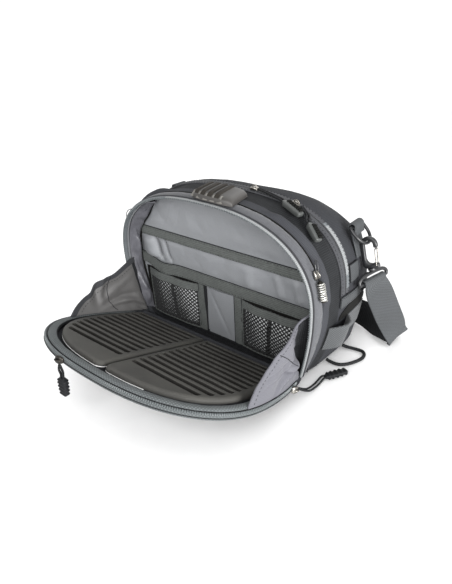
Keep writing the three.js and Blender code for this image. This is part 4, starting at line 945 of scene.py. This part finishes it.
padRows = set(np.round(pad["start"] + pad["nearCorner"] * (1 - np.cos(np.linspace(0, pi / 2, 9))), 3))
padRows |= set(np.round(padCrown - 0.14 - pad["crownRows"] * (1 - np.sin(np.linspace(0, pi / 2, 22))), 3))
padRows |= set(np.round(np.arange(pad["start"] + 7, padCrown - pad["crownRows"], pad["pitch"]), 3))
slitMiddles = [slit["first"] + slit["pitch"] * i for i in range(slit["count"])]
for middle in slitMiddles:
    padRows = {r for r in padRows if abs(r - middle) > slit["clear"]}
    padRows |= {middle + sign * d for sign in (1, -1) for d in slit["rows"]}
padRows = np.array(sorted(padRows))
columnShare = 0.5 - 0.5 * np.cos(np.linspace(0, pi, pad["columns"]))
columnShare = 0.55 * columnShare + 0.45 * np.linspace(0, 1, pad["columns"])
padX = []
for row in padRows:
    inner = padInner(row)
    padX.append(inner + (max(padReach(row), inner + 0.2) - inner) * columnShare)
padX = np.array(padX)
padOut = np.broadcast_to(padRows[:, None], padX.shape)
border = np.concatenate([
    np.stack([padX[:, 0], padRows], 1), np.stack([padX[-1], padOut[-1]], 1),
    np.stack([padX[::-1, -1], padRows[::-1]], 1), np.stack([padX[0, ::-1], padOut[0]], 1)])
fineBorder = []
for a, b in zip(border, np.roll(border, -1, 0)):
    parts = max(int(np.linalg.norm(b - a) / 1.2), 1)
    fineBorder.append(a + (b - a) * np.linspace(0, 1, parts, endpoint=False)[:, None])
fineBorder = np.concatenate(fineBorder)
edgeDistance = np.array([np.min(np.linalg.norm(row[:, None] - fineBorder[None], axis=2), axis=1)
                         for row in np.stack([padX, padOut], -1)])
inward = np.clip(pad["edge"] - edgeDistance, 0, pad["edge"])
padHeight = pad["top"] - (pad["edge"] - np.sqrt(np.maximum(pad["edge"] ** 2 - inward ** 2, 0))) * 0.9
padCut = np.zeros(padX.shape)
for middle in slitMiddles:
    reach = padReach(middle) - slit["side"]
    beyond = np.maximum(np.maximum(slit["side"] - padX, padX - reach), 0)
    away = np.sqrt((padOut - middle) ** 2 + beyond ** 2)
    cut = 1 - fade(away, slit["half"] - 0.35, slit["half"] + 0.35)
    lip = 0.5 * (1 - fade(away, slit["half"], slit["half"] + slit["lip"]))
    padHeight = padHeight - np.maximum(cut * slit["depth"], lip)
    padCut = np.maximum(padCut, cut)
padTop = flapPoint(padX, padOut, padHeight)
padTop[:, :, 2] += ripple(padTop, 40, 31) * 0.5 * fade(edgeDistance, 0, 8)
padFoot = flapPoint(padX, padOut, np.full(padX.shape, pad["bottom"]))
padFilm = [flapPoint(padX, padOut, np.full(padX.shape, height)) for height in pad["film"]]
ringOf = gridRing(*padX.shape)
padVerts, padFaces, _ = gridSkin(padTop)
underVerts, underFaces, _ = gridSkin(padFoot)
count = len(padVerts)
ringTop = [i * padX.shape[1] + j for i, j in ringOf]
around = len(ringOf)
filmVerts = np.array([film[i, j] for film in padFilm for i, j in ringOf])
allVerts = np.concatenate([padVerts, underVerts, filmVerts])
allFaces = padFaces + [[count + i for i in f] for f in underFaces]
cutFaces = (padCut[:-1, :-1] + padCut[1:, :-1] + padCut[:-1, 1:] + padCut[1:, 1:]).ravel() > 0.35
# the slits' cut faces take painted shade
padTags = [3 if cut else 0 for cut in cutFaces] + [2] * len(underFaces)
filmFrom = {"back": 70, "left": 130, "rightTo": 58}  # the white film shows at the front only
ringTags = {"Right": [], "Left": []}
for k in range(around):
    n = (k + 1) % around
    low, high = 2 * count, 2 * count + around  # the film's lower and upper edges
    allFaces.append([ringTop[k], ringTop[n], high + n, high + k])
    allFaces.append([high + k, high + n, low + n, low + k])
    allFaces.append([low + k, low + n, count + ringTop[n], count + ringTop[k]])
    white = padOut[ringOf[k]] > filmFrom["back"] and padOut[ringOf[n]] > filmFrom["back"]
    ringTags["Left"] += [0, 1 if white and padOut[ringOf[k]] > filmFrom["left"] else 2, 2]
    ringTags["Right"] += [0, 1 if white and padX[ringOf[k]] < filmFrom["rightTo"] else 2, 2]
for sideName, side in bothSides.items():
    heap = Heap().put(padTags + ringTags[sideName], (allVerts, allFaces))
    foamPad = heap.make("foamPad" + sideName, [evaFoam, padBacking, hemTape, foamSlitShaded], "foam", side)
print("foam cut")

# cloth gussets between the opening and the door's rim
gusset = {"low": 15, "near": 4, "far": 127, "y": -77, "seam": 1.3, "cloth": 1.4, "rows": 56, "cols": 64}
gussetLooks = {  # folds and creases are start, slope, height and width; shade counts the dark columns
    "Right": {
        "high": 112, "foot": (3.0, 2.2), "sway": (-5, 2), "tuck": 12, "wave": 0.6,
        "folds": [(0.12, 0.38, 3.2, 0.05), (0.30, 0.25, -3.0, 0.04), (0.48, 0.12, 3.0, 0.05),
                  (0.72, -0.1, 2.0, 0.07)],
        "creases": [(0.16, 1.0, 1.3, 0.03), (-0.06, 1.15, -1.2, 0.03), (-0.35, 1.45, 1.3, 0.035)],
        "seam": ((0.5, 0.985), (0.36, 0.12)),
        "cloth": gussetSatinShaded, "hem": gussetSatinShaded, "hemRows": 0, "shade": 10,
    },
    "Left": {
        "high": 102, "foot": (8.7, 4.6), "sway": (6, 5), "tuck": 2, "wave": 2.4,
        "folds": [(0.1, 0.5, 3.2, 0.08), (0.35, 0.3, -1.4, 0.06), (0.78, -0.15, 1.2, 0.06)],
        "creases": [(1.47, -1.0, 2.6, 0.05), (1.57, -1.0, -2.4, 0.05), (1.68, -1.0, 2.2, 0.05)],
        "seam": ((0.38, 0.985), (0.95, 0.36)),
        "cloth": shadeLining, "hem": hemTape, "hemRows": 4, "shade": 4,
    },
}
seamRow = sectionAt(gusset["y"])


def gussetPoint(s, t, look):
    z = gusset["low"] + (look["high"] - gusset["low"]) * t
    inside = min(halfWidthAt(edgeRow, z, 2.5), halfWidthAt(seamRow, z, 2.5))
    start = np.array([inside - gusset["cloth"] / 2 - gusset["seam"], gusset["y"] + edgeRow["lean"] * z, z])
    out = gusset["near"] + (gusset["far"] - gusset["near"]) * t
    end = flapPoint(halfWidthAt(doorSection, out) - look["foot"][0], out, look["foot"][1])
    bow = 6.75 * s * s * (1 - s) * t
    tuck = look["tuck"] * exp(-((s - 0.17) / 0.14) ** 2) * float(fade(s, 0, 0.1))
    tuck *= sin(pi * (0.1 + 0.75 * t))
    wave = look["wave"] * sin(s * 15) * sin(pi * s) * t ** 3
    sway = np.array([bow * look["sway"][0] - tuck, 0, bow * look["sway"][1] + wave])
    return start + (end - start) * s + sway


for sideName, look in gussetLooks.items():
    s, t = np.meshgrid(np.linspace(0, 1, gusset["cols"]), np.linspace(0, 1, gusset["rows"]))
    base = np.array([[gussetPoint(a, b, look) for a, b in zip(rowS, rowT)] for rowS, rowT in zip(s, t)])
    ridges = {key: sum(h * np.exp(-((t - at - slope * s) / w) ** 2) for at, slope, h, w in look[key])
              for key in ("folds", "creases")}
    fold = ridges["folds"] * np.sin(pi * s) ** 0.8 * fade(t, 0, 0.15)
    fold = fold + ripple(base, 16, 41) * 1.4 * np.sin(pi * s)
    fold = fold + ridges["creases"] * np.exp(-((s - 0.58) / 0.2) ** 2)  # short pressed creases in the middle
    base = base + gridNormals(base) * fold[:, :, None]
    normals = gridNormals(base)
    tags = []
    for row in range(gusset["rows"] - 1):
        hemmed = row >= gusset["rows"] - 1 - look["hemRows"]
        tags += [1 if hemmed else 3 if col < look["shade"] else 0 for col in range(gusset["cols"] - 1)]
    cloth = shell(base, gusset["cloth"])
    heap = Heap().put(tags + tags + [1] * (len(cloth[1]) - 2 * len(tags)), cloth)
    heap.put(1, tube(base[-1], 1.25, 8))
    row = gusset["rows"] - 4 - look["hemRows"]
    for sign in (1, -1):
        stitches(heap, base[row] + normals[row] * sign * 0.75, normals[row] * sign, 2)
    (s0, t0), (s1, t1) = look["seam"]
    seam = [(s0 + (s1 - s0) * k, t0 + (t1 - t0) * k) for k in np.linspace(0, 1, 40)]
    for sign in (1, -1):
        line = [gridAt(base, *at) + gridAt(normals, *at) * sign * 0.6 for at in seam]
        heap.put(2, tube(line, 0.55, 6))
    made = heap.make("sideGusset" + sideName, [look["cloth"], look["hem"], threadAndShadeLine, shadowCloth], "lining",
                     bothSides[sideName])
print("gussets hung")

# ribbed grip on the crown
grip = {"x": 10, "half": 29, "front": -104, "back": -53, "thick": 8.5, "skew": -0.18, "ribs": 4,
        "first": -22.5, "pitch": 10.2, "ribHalf": 3.0, "ribHeight": 2.2, "around": 31, "ribbed": (4, 24)}
gripSection = sectionAt(-68)
gripMiddle = (grip["front"] + grip["back"]) / 2
ribPlaces = [grip["first"] + grip["pitch"] * i for i in range(grip["ribs"])]
gripRings, gripRibs = [], []
for x in np.linspace(-grip["half"], grip["half"], 150):
    far = abs(x) / grip["half"]
    share = sqrt(max(1 - max((far - 0.72) / 0.28, 0) ** 2, 0)) * 0.7 + 0.3
    near = min(abs(x - at) for at in ribPlaces)
    rib = float(1 - fade(near, grip["ribHalf"] - 0.9, grip["ribHalf"] + 0.9))
    half = (grip["back"] - grip["front"]) / 2 * (1 - 0.2 * far ** 3)
    ring = []
    for angle in np.linspace(0, pi, grip["around"]):
        sideways = squarish(cos(angle), 0.45) * half
        up = abs(sin(angle)) ** 0.5
        y = gripMiddle + sideways
        px = grip["x"] + x + grip["skew"] * sideways
        base = archHeight(gripSection, px) + 0.7
        edge = 1 - float(fade(abs(sideways), half * 0.7, half * 0.95))  # ribs run out at front and back
        ring.append((px, y, base + up * (share * grip["thick"] + grip["ribHeight"] * rib * edge)))
    gripRings.append(ring)
    gripRibs.append(rib > 0.4)
first, last = grip["ribbed"]
gripTags = [int(ribbed and first <= k <= last) for ribbed in gripRibs[:-1] for k in range(grip["around"])]
heap = Heap().put(gripTags, stacked(gripRings))
tooth = [(-3.6, -0.5, 0), (3.6, -0.5, 0), (0.6, 2.6, 7.4), (-3.6, 5, 0), (3.6, 5, 0), (0.6, 7, 7.4)]
for at in ribPlaces + [ribPlaces[-1] + grip["pitch"]]:  # pale moulded teeth between the ribs' front ends
    x = at - grip["pitch"] / 2
    sideways = (grip["front"] - grip["back"]) / 2 * (1 - 0.2 * abs(x / grip["half"]) ** 3)
    foot = np.array([grip["x"] + x + grip["skew"] * sideways, gripMiddle + sideways, 0])
    foot[2] = archHeight(gripSection, foot[0]) + 2.0
    heap.put(2, (foot + np.array(tooth), [[0, 1, 2], [3, 5, 4], [0, 3, 4, 1], [1, 4, 5, 2], [2, 5, 3, 0]]))
heap.make("handleGrip", [gripRubber, gripRib, gripEdge], "rubber")
print("grip moulded")


# zip pullers: plated slider, doubled cord and ribbed end
def mainTop(x, y, lift):
    return np.array([x, y, archHeight(sectionAt(y), x) + lift])


def sideSurface(y, z, lift):
    s = sectionAt(y)
    return np.array([halfWidthAt(s, z) + lift, y + s["lean"] * z, z])


sliderShape = {  # place along the slider, half width and height; then the bail's place and height
    "body": [(-5.6, 2.6, 1.2), (-4.8, 3.5, 2.6), (-3, 4.2, 3.4), (-0.6, 4.3, 3.7), (2.4, 4.2, 3.7),
             (4.6, 3.2, 2.8), (5.6, 2.2, 1.4)],
    "bail": [(-3.4, 3.2), (-2.6, 4.8), (0, 5.8), (2.4, 5.0), (3.6, 3.0)],
}


def addSlider(heap, at, along, up):
    along, up = unit(np.array(along, float)), unit(np.array(up, float))
    side = unit(np.cross(up, along))
    rings = []
    for far, half, tall in sliderShape["body"]:
        rings.append([at + along * far + side * half * squarish(cos(a), 0.5)
                      + up * tall * (0.5 + 0.5 * squarish(sin(a), 0.5))
                      for a in fullTurn(20)])
    heap.put(0, stacked(rings))
    bail = [at + along * far + up * high for far, high in sliderShape["bail"]]
    heap.put(0, tube(smoothPath(bail, 16), 0.85, 10))


endShape = {"neck": 0.5, "neckTo": 0.16, "taper": 0.12, "taperFrom": 0.55, "tip": 0.93, "tipLong": 0.085,
            "groove": 0.34, "grooveFrom": (0.12, 0.2), "ribs": 5, "square": 0.42}  # shares of its size


def addEnd(heap, start, end, up, teeth, half, thick):
    e, along = endShape, end - start
    side = unit(np.cross(np.array(up, float), along))
    face = unit(np.cross(along, side))
    rings = []
    for share in np.linspace(0, 1, 56):
        size = e["neck"] + (1 - e["neck"]) * float(fade(share, 0, e["neckTo"]))
        size -= e["taper"] * float(fade(share, e["taperFrom"], 1))
        size *= sqrt(max(1 - max((share - e["tip"]) / e["tipLong"], 0) ** 2, 0.02))
        ribs = 0.5 + 0.5 * cos(share * 2 * pi * e["ribs"])
        groove = 0.0 if teeth else e["groove"] * float(fade(share, *e["grooveFrom"])) * ribs
        ring = []
        for a in fullTurn(24):
            u, v = squarish(cos(a), e["square"]), squarish(sin(a), e["square"])
            ring.append(start + along * share + side * u * half * size * (1 - groove * 0.6)
                        + face * v * thick * size * (1 - groove))
        rings.append(ring)
    heap.put(0, stacked(rings))
    if teeth:
        raised = side * half * 0.38
        line = [start + along * k + raised + face * thick * 0.86 for k in np.linspace(0.14, 0.92, 12)]
        pitch = np.linalg.norm(along) * 0.78 / 6
        coilTeeth(heap, line, face, 1, pitch=pitch, long=2.7, wide=6.6, high=2.2)


cordLine = {"radius": 1.3, "apartFirst": 2.1, "apartLast": 1.5, "tip": 2.1}


def doubled(points, up, spread):
    points, up = np.array(points, float), np.array(up, float)
    along = unit(np.gradient(points, axis=0))
    side = unit(np.cross(up, along))
    apart = np.full(len(points), cordLine["apartFirst"])
    apart[2:] = spread
    apart[-1] = cordLine["apartLast"]
    tip = points[-1] + unit(points[-1] - points[-2]) * cordLine["tip"]
    out, back = points + side * apart[:, None], points - side * apart[:, None]
    return smoothPath(np.concatenate([out, tip[None], back[::-1]]), 90)


topEnd = {"face": (0.3, 0, 1), "rubber": endRubber, "teeth": True, "half": 5.4, "thick": 3.4, "spread": 2.1,
          "plate": nickel}
flapEnd = {"rubber": endBlack, "teeth": False}
zipY = mainZipShape["y"]
pullers = [
    {**topEnd, "name": "topPullerNear", "at": mainTop(26, zipY, 1.9), "along": (1, 0, -0.05),
     "up": (0.03, 0, 1), "end": (mainTop(75, -42, 5.2), mainTop(103, -49, 5.6)),
     "cord": [mainTop(55, -36.5, 4.6), mainTop(35.2, -31, 4.3)]},
    {**topEnd, "name": "topPullerFar", "at": mainTop(84, zipY, 2.2), "along": (1, 0, -0.45),
     "up": (0.45, 0, 1), "end": (mainTop(114, -50, 5.4), mainTop(132, -59, 7)), "face": (0.6, 0, 0.8),
     "cord": [mainTop(106, -38.5, 4.6), mainTop(95, -31.5, 4.8)]},
    # the left slider takes the darker plating, painted shade
    {**flapEnd, "name": "flapPullerLeft", "at": flapPoint(-43, 210.1, -2), "along": (1, 0.12, 0),
     "up": (0, -0.94, 0.34), "end": (np.array([-43.5, -290.2, 60.5]), np.array([-44.5, -290.8, 36.5])),
     "cord": [(-43.2, -290.4, 69.5), (-43, -290.6, 76)], "face": (0, -1, 0),
     "half": 6.4, "thick": 4.2, "spread": 3.4, "plate": nickelShaded},
    {**flapEnd, "name": "flapPullerRight", "at": flapPoint(145.85, 26, -1.5), "along": (0.1, 0.94, -0.34),
     "up": (1, 0, 0.1), "end": (np.array([157.0, -52, 4.6]), np.array([174.0, -24, 4.6])),
     "cord": [(154, -72, 3.4), (153, -92, 8.5), (148.4, -107.8, 18.7)], "face": (0.1, 0.2, 1),
     "half": 5.6, "thick": 3.7, "spread": 2.1, "plate": nickel},
]
for puller in pullers:
    heap = Heap()
    addSlider(heap, puller["at"], puller["along"], puller["up"])
    heap.make(puller["name"] + "Slider", [puller["plate"]], "metal")
    heap = Heap()
    addEnd(heap, *puller["end"], puller["face"], puller["teeth"], puller["half"], puller["thick"])
    endPiece = heap.make(puller["name"] + "End", [puller["rubber"], shadeAndTeethBlack], "plastic")
    start, end = puller["end"]
    lead = [start + unit(start - end) * back for back in (0.5, 4)]
    line = doubled(lead + [np.array(p, float) for p in puller["cord"]], puller["face"], puller["spread"])
    heap = Heap().put(0, tube(line, cordLine["radius"], 12))
    cordPiece = heap.make(puller["name"] + "Cord", [braidCord], "cord")
print("pullers threaded")

# elastic cord on the floor
bungee = {"radius": 2.25, "route": [
    (144.4, 27, 4.4), (150.5, 28.5, 3), (158, 30.5, 2.5), (166, 32, 2.5), (173, 31.5, 2.5), (177.5, 26, 2.5),
    (178.5, 17, 2.5), (175.5, 7, 2.5), (171, -2, 2.5), (165.5, -10, 2.5), (158, -15.5, 2.5), (149.5, -17, 3),
    (141.4, -17, 4.4)]}
line = smoothPath(bungee["route"], 120)
bungeeLoop = Heap().put(0, tube(line, bungee["radius"], 14)).make("bungeeLoop", [braidCord], "cord")

# side hardware: slider with coiled pull, tab, ring, hook and strap ring
ringPlace = {"bar": np.array([143.0, 18, 185]), "wire": 2.0, "width": 34, "slope": 44,
             "shoulder": 10, "bow": 16}
ringTurn = radians(ringPlace["slope"])
ringDown = np.array([cos(ringTurn), 0, -sin(ringTurn)])
hook = {"foot": np.array([170.85, 18, 135.03]), "u": np.array([0.9613, 0, 0.2756]),
        "w": np.array([-0.2756, 0, 0.9613]), "halfWidth": 8, "bar": 5.4, "crownAt": 30, "thick": 5.6,
        "swivel": radians(18), "barrel": [(0.8, 3.4), (0.4, 4.6), (-1.2, 4.9), (-2.4, 4.6), (-2.9, 3.6)],
        "edge": [(-1, 1.5), (-0.9, 0.75), (-0.62, 0.2), (-0.3, 0), (0.3, 0), (0.62, 0.2), (0.9, 0.75),
                 (1, 1.5)]}


def hookPoint(u, y, w):
    return hook["foot"] + hook["u"] * u + np.array([0, 1.0, 0]) * y + hook["w"] * w


def addHook(heap):
    outer, inner = hook["halfWidth"] + hook["bar"] / 2, hook["halfWidth"] - hook["bar"] / 2
    bow = [(inner * cos(a), hook["crownAt"] + inner * sin(a)) for a in np.linspace(pi, 0, 16)]
    crown = [(outer * cos(a), hook["crownAt"] + outer * sin(a)) for a in np.linspace(0, pi, 22)]
    shape = [(outer - 2, -0.4), (outer - 0.3, 1), (outer, 3), (outer - 0.3, 6), (outer - 2, 7.4),
             (inner, 7.6), (2, 6.4), (-2, 7), (-inner + 1.4, 9), (-inner, 12), (-inner, 20)] + bow
    shape += [(inner + 0.2, 27.2), (inner + 1.2, 26.4), (outer - 1.4, 26.6), (outer - 0.2, 27.6)] + crown
    shape += [(-outer, 20), (-outer, 8), (-outer + 0.4, 3), (-outer + 2.4, 0.4), (-outer + 5, -0.4)]
    shape = np.array(shape)
    ahead = unit(np.roll(shape, -1, 0) - np.roll(shape, 1, 0))
    normal = np.stack([-ahead[:, 1], ahead[:, 0]], 1)
    area = np.sum(shape[:, 0] * np.roll(shape[:, 1], -1) - shape[:, 1] * np.roll(shape[:, 0], -1))
    normal *= 1 if area > 0 else -1  # points into the bar
    deep = hook["thick"] / 2
    heap.put(0, stacked([[hookPoint(u, deep * y, w) for u, w in shape + normal * draw]
                         for y, draw in hook["edge"]]))
    heap.put(0, stacked([[hookPoint(r * cos(a), r * sin(a), w) for a in fullTurn(24)]
                         for w, r in hook["barrel"]]))


def addGate(heap, tag=0):
    legs = [(7.6, 4.6), (7.8, 14), (8, 23.2)]
    points = [hookPoint(u, -3.6, w) for u, w in legs] + [hookPoint(8, -2.4, 25.2), hookPoint(8, 2.4, 25.2)]
    points += [hookPoint(u, 3.6, w) for u, w in legs[::-1]]
    heap.put(tag, tube(smoothPath(points, 60), 0.85, 10))


def addStrapRing(heap):
    half = [(4, -5.0), (11, -5.3), (18, -6.2), (22.8, -8.6), (25.2, -12), (24.4, -14.4), (22, -15.2),
            (10, -15.2)]
    both = half + [(-far, w) for far, w in half[::-1]]
    points = [hookPoint(far * sin(hook["swivel"]), far * cos(hook["swivel"]), w) for far, w in both]
    heap.put(0, tube(smoothPath(points, 110, closed=True), 2.35, 14, closed=True))


heap = Heap()
addHook(heap)
heap.make("snapHookRight", [blackNylon], "plastic")
heap = Heap()
addGate(heap)
heap.make("hookGateRight", [nickel], "metal", body="gate")
heap = Heap()
addStrapRing(heap)
heap.make("strapRingRight", [blackNylon], "plastic")
heap = Heap()
addHook(heap)
addGate(heap, 1)
addStrapRing(heap)
heap.make("snapHookLeft", [blackNylon, nickel], "plastic", -1)

sidePull = {"y": -73,  # then heights with the lift off the cloth
            "slider": (158, 1.3), "top": (152, 5.4), "foot": (128, 4.8), "radius": 4.0, "wire": 1.05,
            "turns": 8,
            "loop": [(2.5, -3, 3), (2.2, -5, 10), (0.2, -3.5, 16), (-1.6, 1.5, 17.5), (-0.8, 4.5, 12),
                     (2.4, 3, 3.5)],
            "core": [(-0.04, 1.2), (0.02, 2.6), (0.05, 3.3), (0.5, 3.3), (0.95, 3.3), (0.99, 3.1),
                     (1.02, 1.4)]}
ringTab = {"width": 25, "thick": 2.4, "bend": 4.6, "turn": (195, 152, 109, 66, 23, -20)}
sidePatch = {"z": (126, 147), "y": (-18, 4.5), "steps": 22, "lift": 1.3, "thick": 1.7}
sideBand = {"z": (98, 112), "y": (-37, 52), "lift": 1.3, "thick": 1.8, "seams": (1, 7)}
sideLoop = {"low": 46, "high": 80, "front": -54, "seam": -12, "back": 38, "bulge": 12, "thick": 1.8}
loopGap = {"y": (-34, 46), "long": 80, "low": 79, "high": 84, "rise": 13, "lift": 0.7, "thick": 0.5}
for sideName, side in bothSides.items():
    heap = Heap()
    at, top, foot = (sideSurface(sidePull["y"], *sidePull[key]) for key in ("slider", "top", "foot"))
    addSlider(heap, at, (0.25, 0.07, -1), (1, 0, 0.3))
    heap.put(1, tube(smoothPath([at + np.array(p) for p in sidePull["loop"]], 40), 0.6, 8))
    heap.make("sideSlider" + sideName, [nickel, blackNylon], "metal", side)

    along = unit(foot - top)
    out = unit(np.array([1.0, 0, 0]) - along * along[0])
    across = np.cross(along, out)
    reach = np.linalg.norm(foot - top)
    share = np.linspace(0, 1, 200)
    turn = share * (2 * sidePull["turns"]) * pi
    coil = top + along * (1.5 + (reach - 3) * share)[:, None] + sidePull["radius"] * (
        np.cos(turn)[:, None] * out + np.sin(turn)[:, None] * across)
    heap = Heap().put(0, tube(coil, sidePull["wire"], 8))
    core = [top + along * reach * k for k, _ in sidePull["core"]]
    # the coil's core takes the darker plating, painted shade
    heap.put(1, tube(core, [radius for _, radius in sidePull["core"]], 14))
    heap.make("sidePuller" + sideName, [steelCoil, nickelShaded], "metal", side)

    barX, barY, barZ = ringPlace["bar"]
    stations = [sideSurface(barY, 149, 2.2), (149.6, barY, 163), (143.2, barY, 178)]
    stations += [(barX + ringTab["bend"] * cos(a), barY, barZ + ringTab["bend"] * sin(a))
                 for a in map(radians, ringTab["turn"])]
    line = smoothPath(stations + [(149.2, barY, 176.5)], 60)
    tab = bandAlong(line, np.tile([0, 1.0, 0], (60, 1)), ringTab["width"], ringTab["thick"])
    Heap().put(0, tab).make("ringTab" + sideName, [strapWebbing], "webbing", side)

    half = ringPlace["width"] / 2
    points = [(half - 4, 0), (0, 0), (-half + 4, 0), (-half + 0.6, 1.4), (-half, 5)]
    points += [(half * cos(a), ringPlace["shoulder"] + ringPlace["bow"] * sin(a))
               for a in np.linspace(pi, 0, 15)] + [(half, 5), (half - 0.6, 1.4)]
    line = [ringPlace["bar"] + np.array([0, y, 0]) + ringDown * d for y, d in points]
    ring = tube(smoothPath(line, 110, closed=True), ringPlace["wire"], 14, closed=True)
    Heap().put(0, ring).make("dRing" + sideName, [blackNylon], "plastic", side)

    zs, ys = (np.linspace(*sidePatch[key], sidePatch["steps"]) for key in ("z", "y"))
    patch = np.array([[sideSurface(y, z, sidePatch["lift"]) for y in ys] for z in zs])
    heap = Heap().put(0, shell(patch, sidePatch["thick"]))
    rim = [patch[place] for place in gridRing(*patch.shape[:2])]
    heap.put(1, tube(smoothPath(rim, 120, closed=True), 0.95, 8, closed=True))
    heap.make("sidePatch" + sideName, [strapWebbing, threadAndShadeLine], "webbing", side)

    zs, ys = np.linspace(*sideBand["z"], 9), np.linspace(*sideBand["y"], 70)
    band = np.array([[sideSurface(y, z, sideBand["lift"]) for y in ys] for z in zs])
    heap = Heap().put(0, shell(band, sideBand["thick"]))
    for row in sideBand["seams"]:
        stitches(heap, band[row] + [1.0, 0, 0], (1, 0, 0), 1, 0.35)
    heap.make("sideBand" + sideName, [strapWebbing, threadAndShadeLine], "webbing", side)

    zs = np.linspace(sideLoop["low"], sideLoop["high"], 20)
    ys = np.linspace(sideLoop["front"], sideLoop["back"], 80)
    loose = np.clip((ys - ys[0]) / (sideLoop["seam"] - ys[0]), 0, 1)
    lift = 1.2 + sideLoop["bulge"] * np.sin(pi * loose)
    loopBand = np.array([[sideSurface(y, z, h) for y, h in zip(ys, lift)] for z in zs])
    heap = Heap().put(0, shell(loopBand, sideLoop["thick"]))
    for y in (sideLoop["seam"] - 1, sideLoop["seam"] + 2.5):
        col = int(np.argmin(np.abs(ys - y)))
        stitches(heap, loopBand[:, col] + [1.0, 0, 0], (1, 0, 0), 1, 0.4)
    ys = np.linspace(*loopGap["y"], 40)
    tops = loopGap["high"] + loopGap["rise"] * np.sin(pi * (ys - loopGap["y"][0]) / loopGap["long"]) ** 0.6
    gap = np.array([[sideSurface(y, loopGap["low"] + (top - loopGap["low"]) * k, loopGap["lift"])
                     for y, top in zip(ys, tops)] for k in np.linspace(0, 1, 8)])
    heap.put(2, shell(gap, loopGap["thick"]))  # painted shade: a black sheet in the gap under the webbing's standing-off upper edge
    heap.make("sideLoop" + sideName, [webbing, threadAndShadeLine, shadeAndTeethBlack], "webbing", side)
print("hardware fitted")

# shoulder strap from ring to ring, down to the floor and round behind the bag
strap = {"width": 38, "thick": 1.9, "bend": 3.8, "turn": [180, 145, 110, 75, 40, 5],
         "route": [  # place and direction across
    ((184, 33, 92), (0.5, 0.83, 0.22)), ((191, 53, 60), (0.55, 0.79, 0.25)),
    ((197.5, 72, 32), (0.48, 0.84, 0.22)), ((201.5, 83, 14.2), (0.28, 0.95, 0.13)),
    ((200.5, 86.6, 9.6), (0.22, 0.97, 0.1)), ((192, 88, 8), (0.04, 0.99, 0.1)),
    ((178, 92, 12.4), (0, 0.87, 0.5)), ((160, 98, 17.8), (0, 0.6, 0.8)), ((140, 103, 19.6), (0, 0.3, 0.95)),
    ((110, 106.5, 20.2), (0, 0.05, 1)), ((80, 107, 20.2), (0, 0, 1))]}
barFoot = hookPoint(0, 0, -15)
barAlong = hook["u"] * sin(hook["swivel"]) + np.array([0, cos(hook["swivel"]), 0])
barOut = unit(np.cross(barAlong, [0, 0, 1.0]))
barUp = np.cross(barOut, barAlong)


def byBar(out, along, up):
    return np.concatenate([barFoot + barOut * out + barAlong * along + barUp * up, barAlong])


half = [byBar(-strap["bend"], 1, -8)]
half += [byBar(strap["bend"] * cos(a), 0, strap["bend"] * sin(a)) for a in np.radians(strap["turn"])]
half += [byBar(strap["bend"] + 0.6, 1, -8)]
half += [np.array(at + across, float) for at, across in strap["route"]]
half = np.array(half)
line = smoothPath(np.concatenate([half, half[::-1] * [-1, 1, 1, -1, 1, 1]]), 420)  # mirrored to the left
strapTags = ([0] * 10 + [1] * 10) * (len(line) - 1)  # front and back of the band, the back in painted shade
heap = Heap().put(strapTags, bandAlong(line[:, :3], line[:, 3:], strap["width"], strap["thick"]))
shoulderStrap = heap.make("shoulderStrap", [strapWebbing, webbingInsideShaded], "webbing")

# the floor lies just under the part
half, low = studio["floor"] / 2 * mm, -0.3 * mm
floorMesh = bpy.data.meshes.new("floor")
floorMesh.from_pydata([(-half, -half, low), (half, -half, low), (half, half, low), (-half, half, low)], [],
                      [[0, 1, 2, 3]])
floorMesh.materials.append(paperSweep)
floor = bpy.data.objects.new("floor", floorMesh)
bpy.context.scene.collection.objects.link(floor)
paperFlag = bpy.data.collections.new("paperFlag")  # keeps a lamp off the paper, so soft shadows show on it
paperFlag.objects.link(floor)
paperFlag.collection_objects[0].light_linking.link_state = "EXCLUDE"
bpy.data.objects["rightSoftbox"].light_linking.receiver_collection = paperFlag
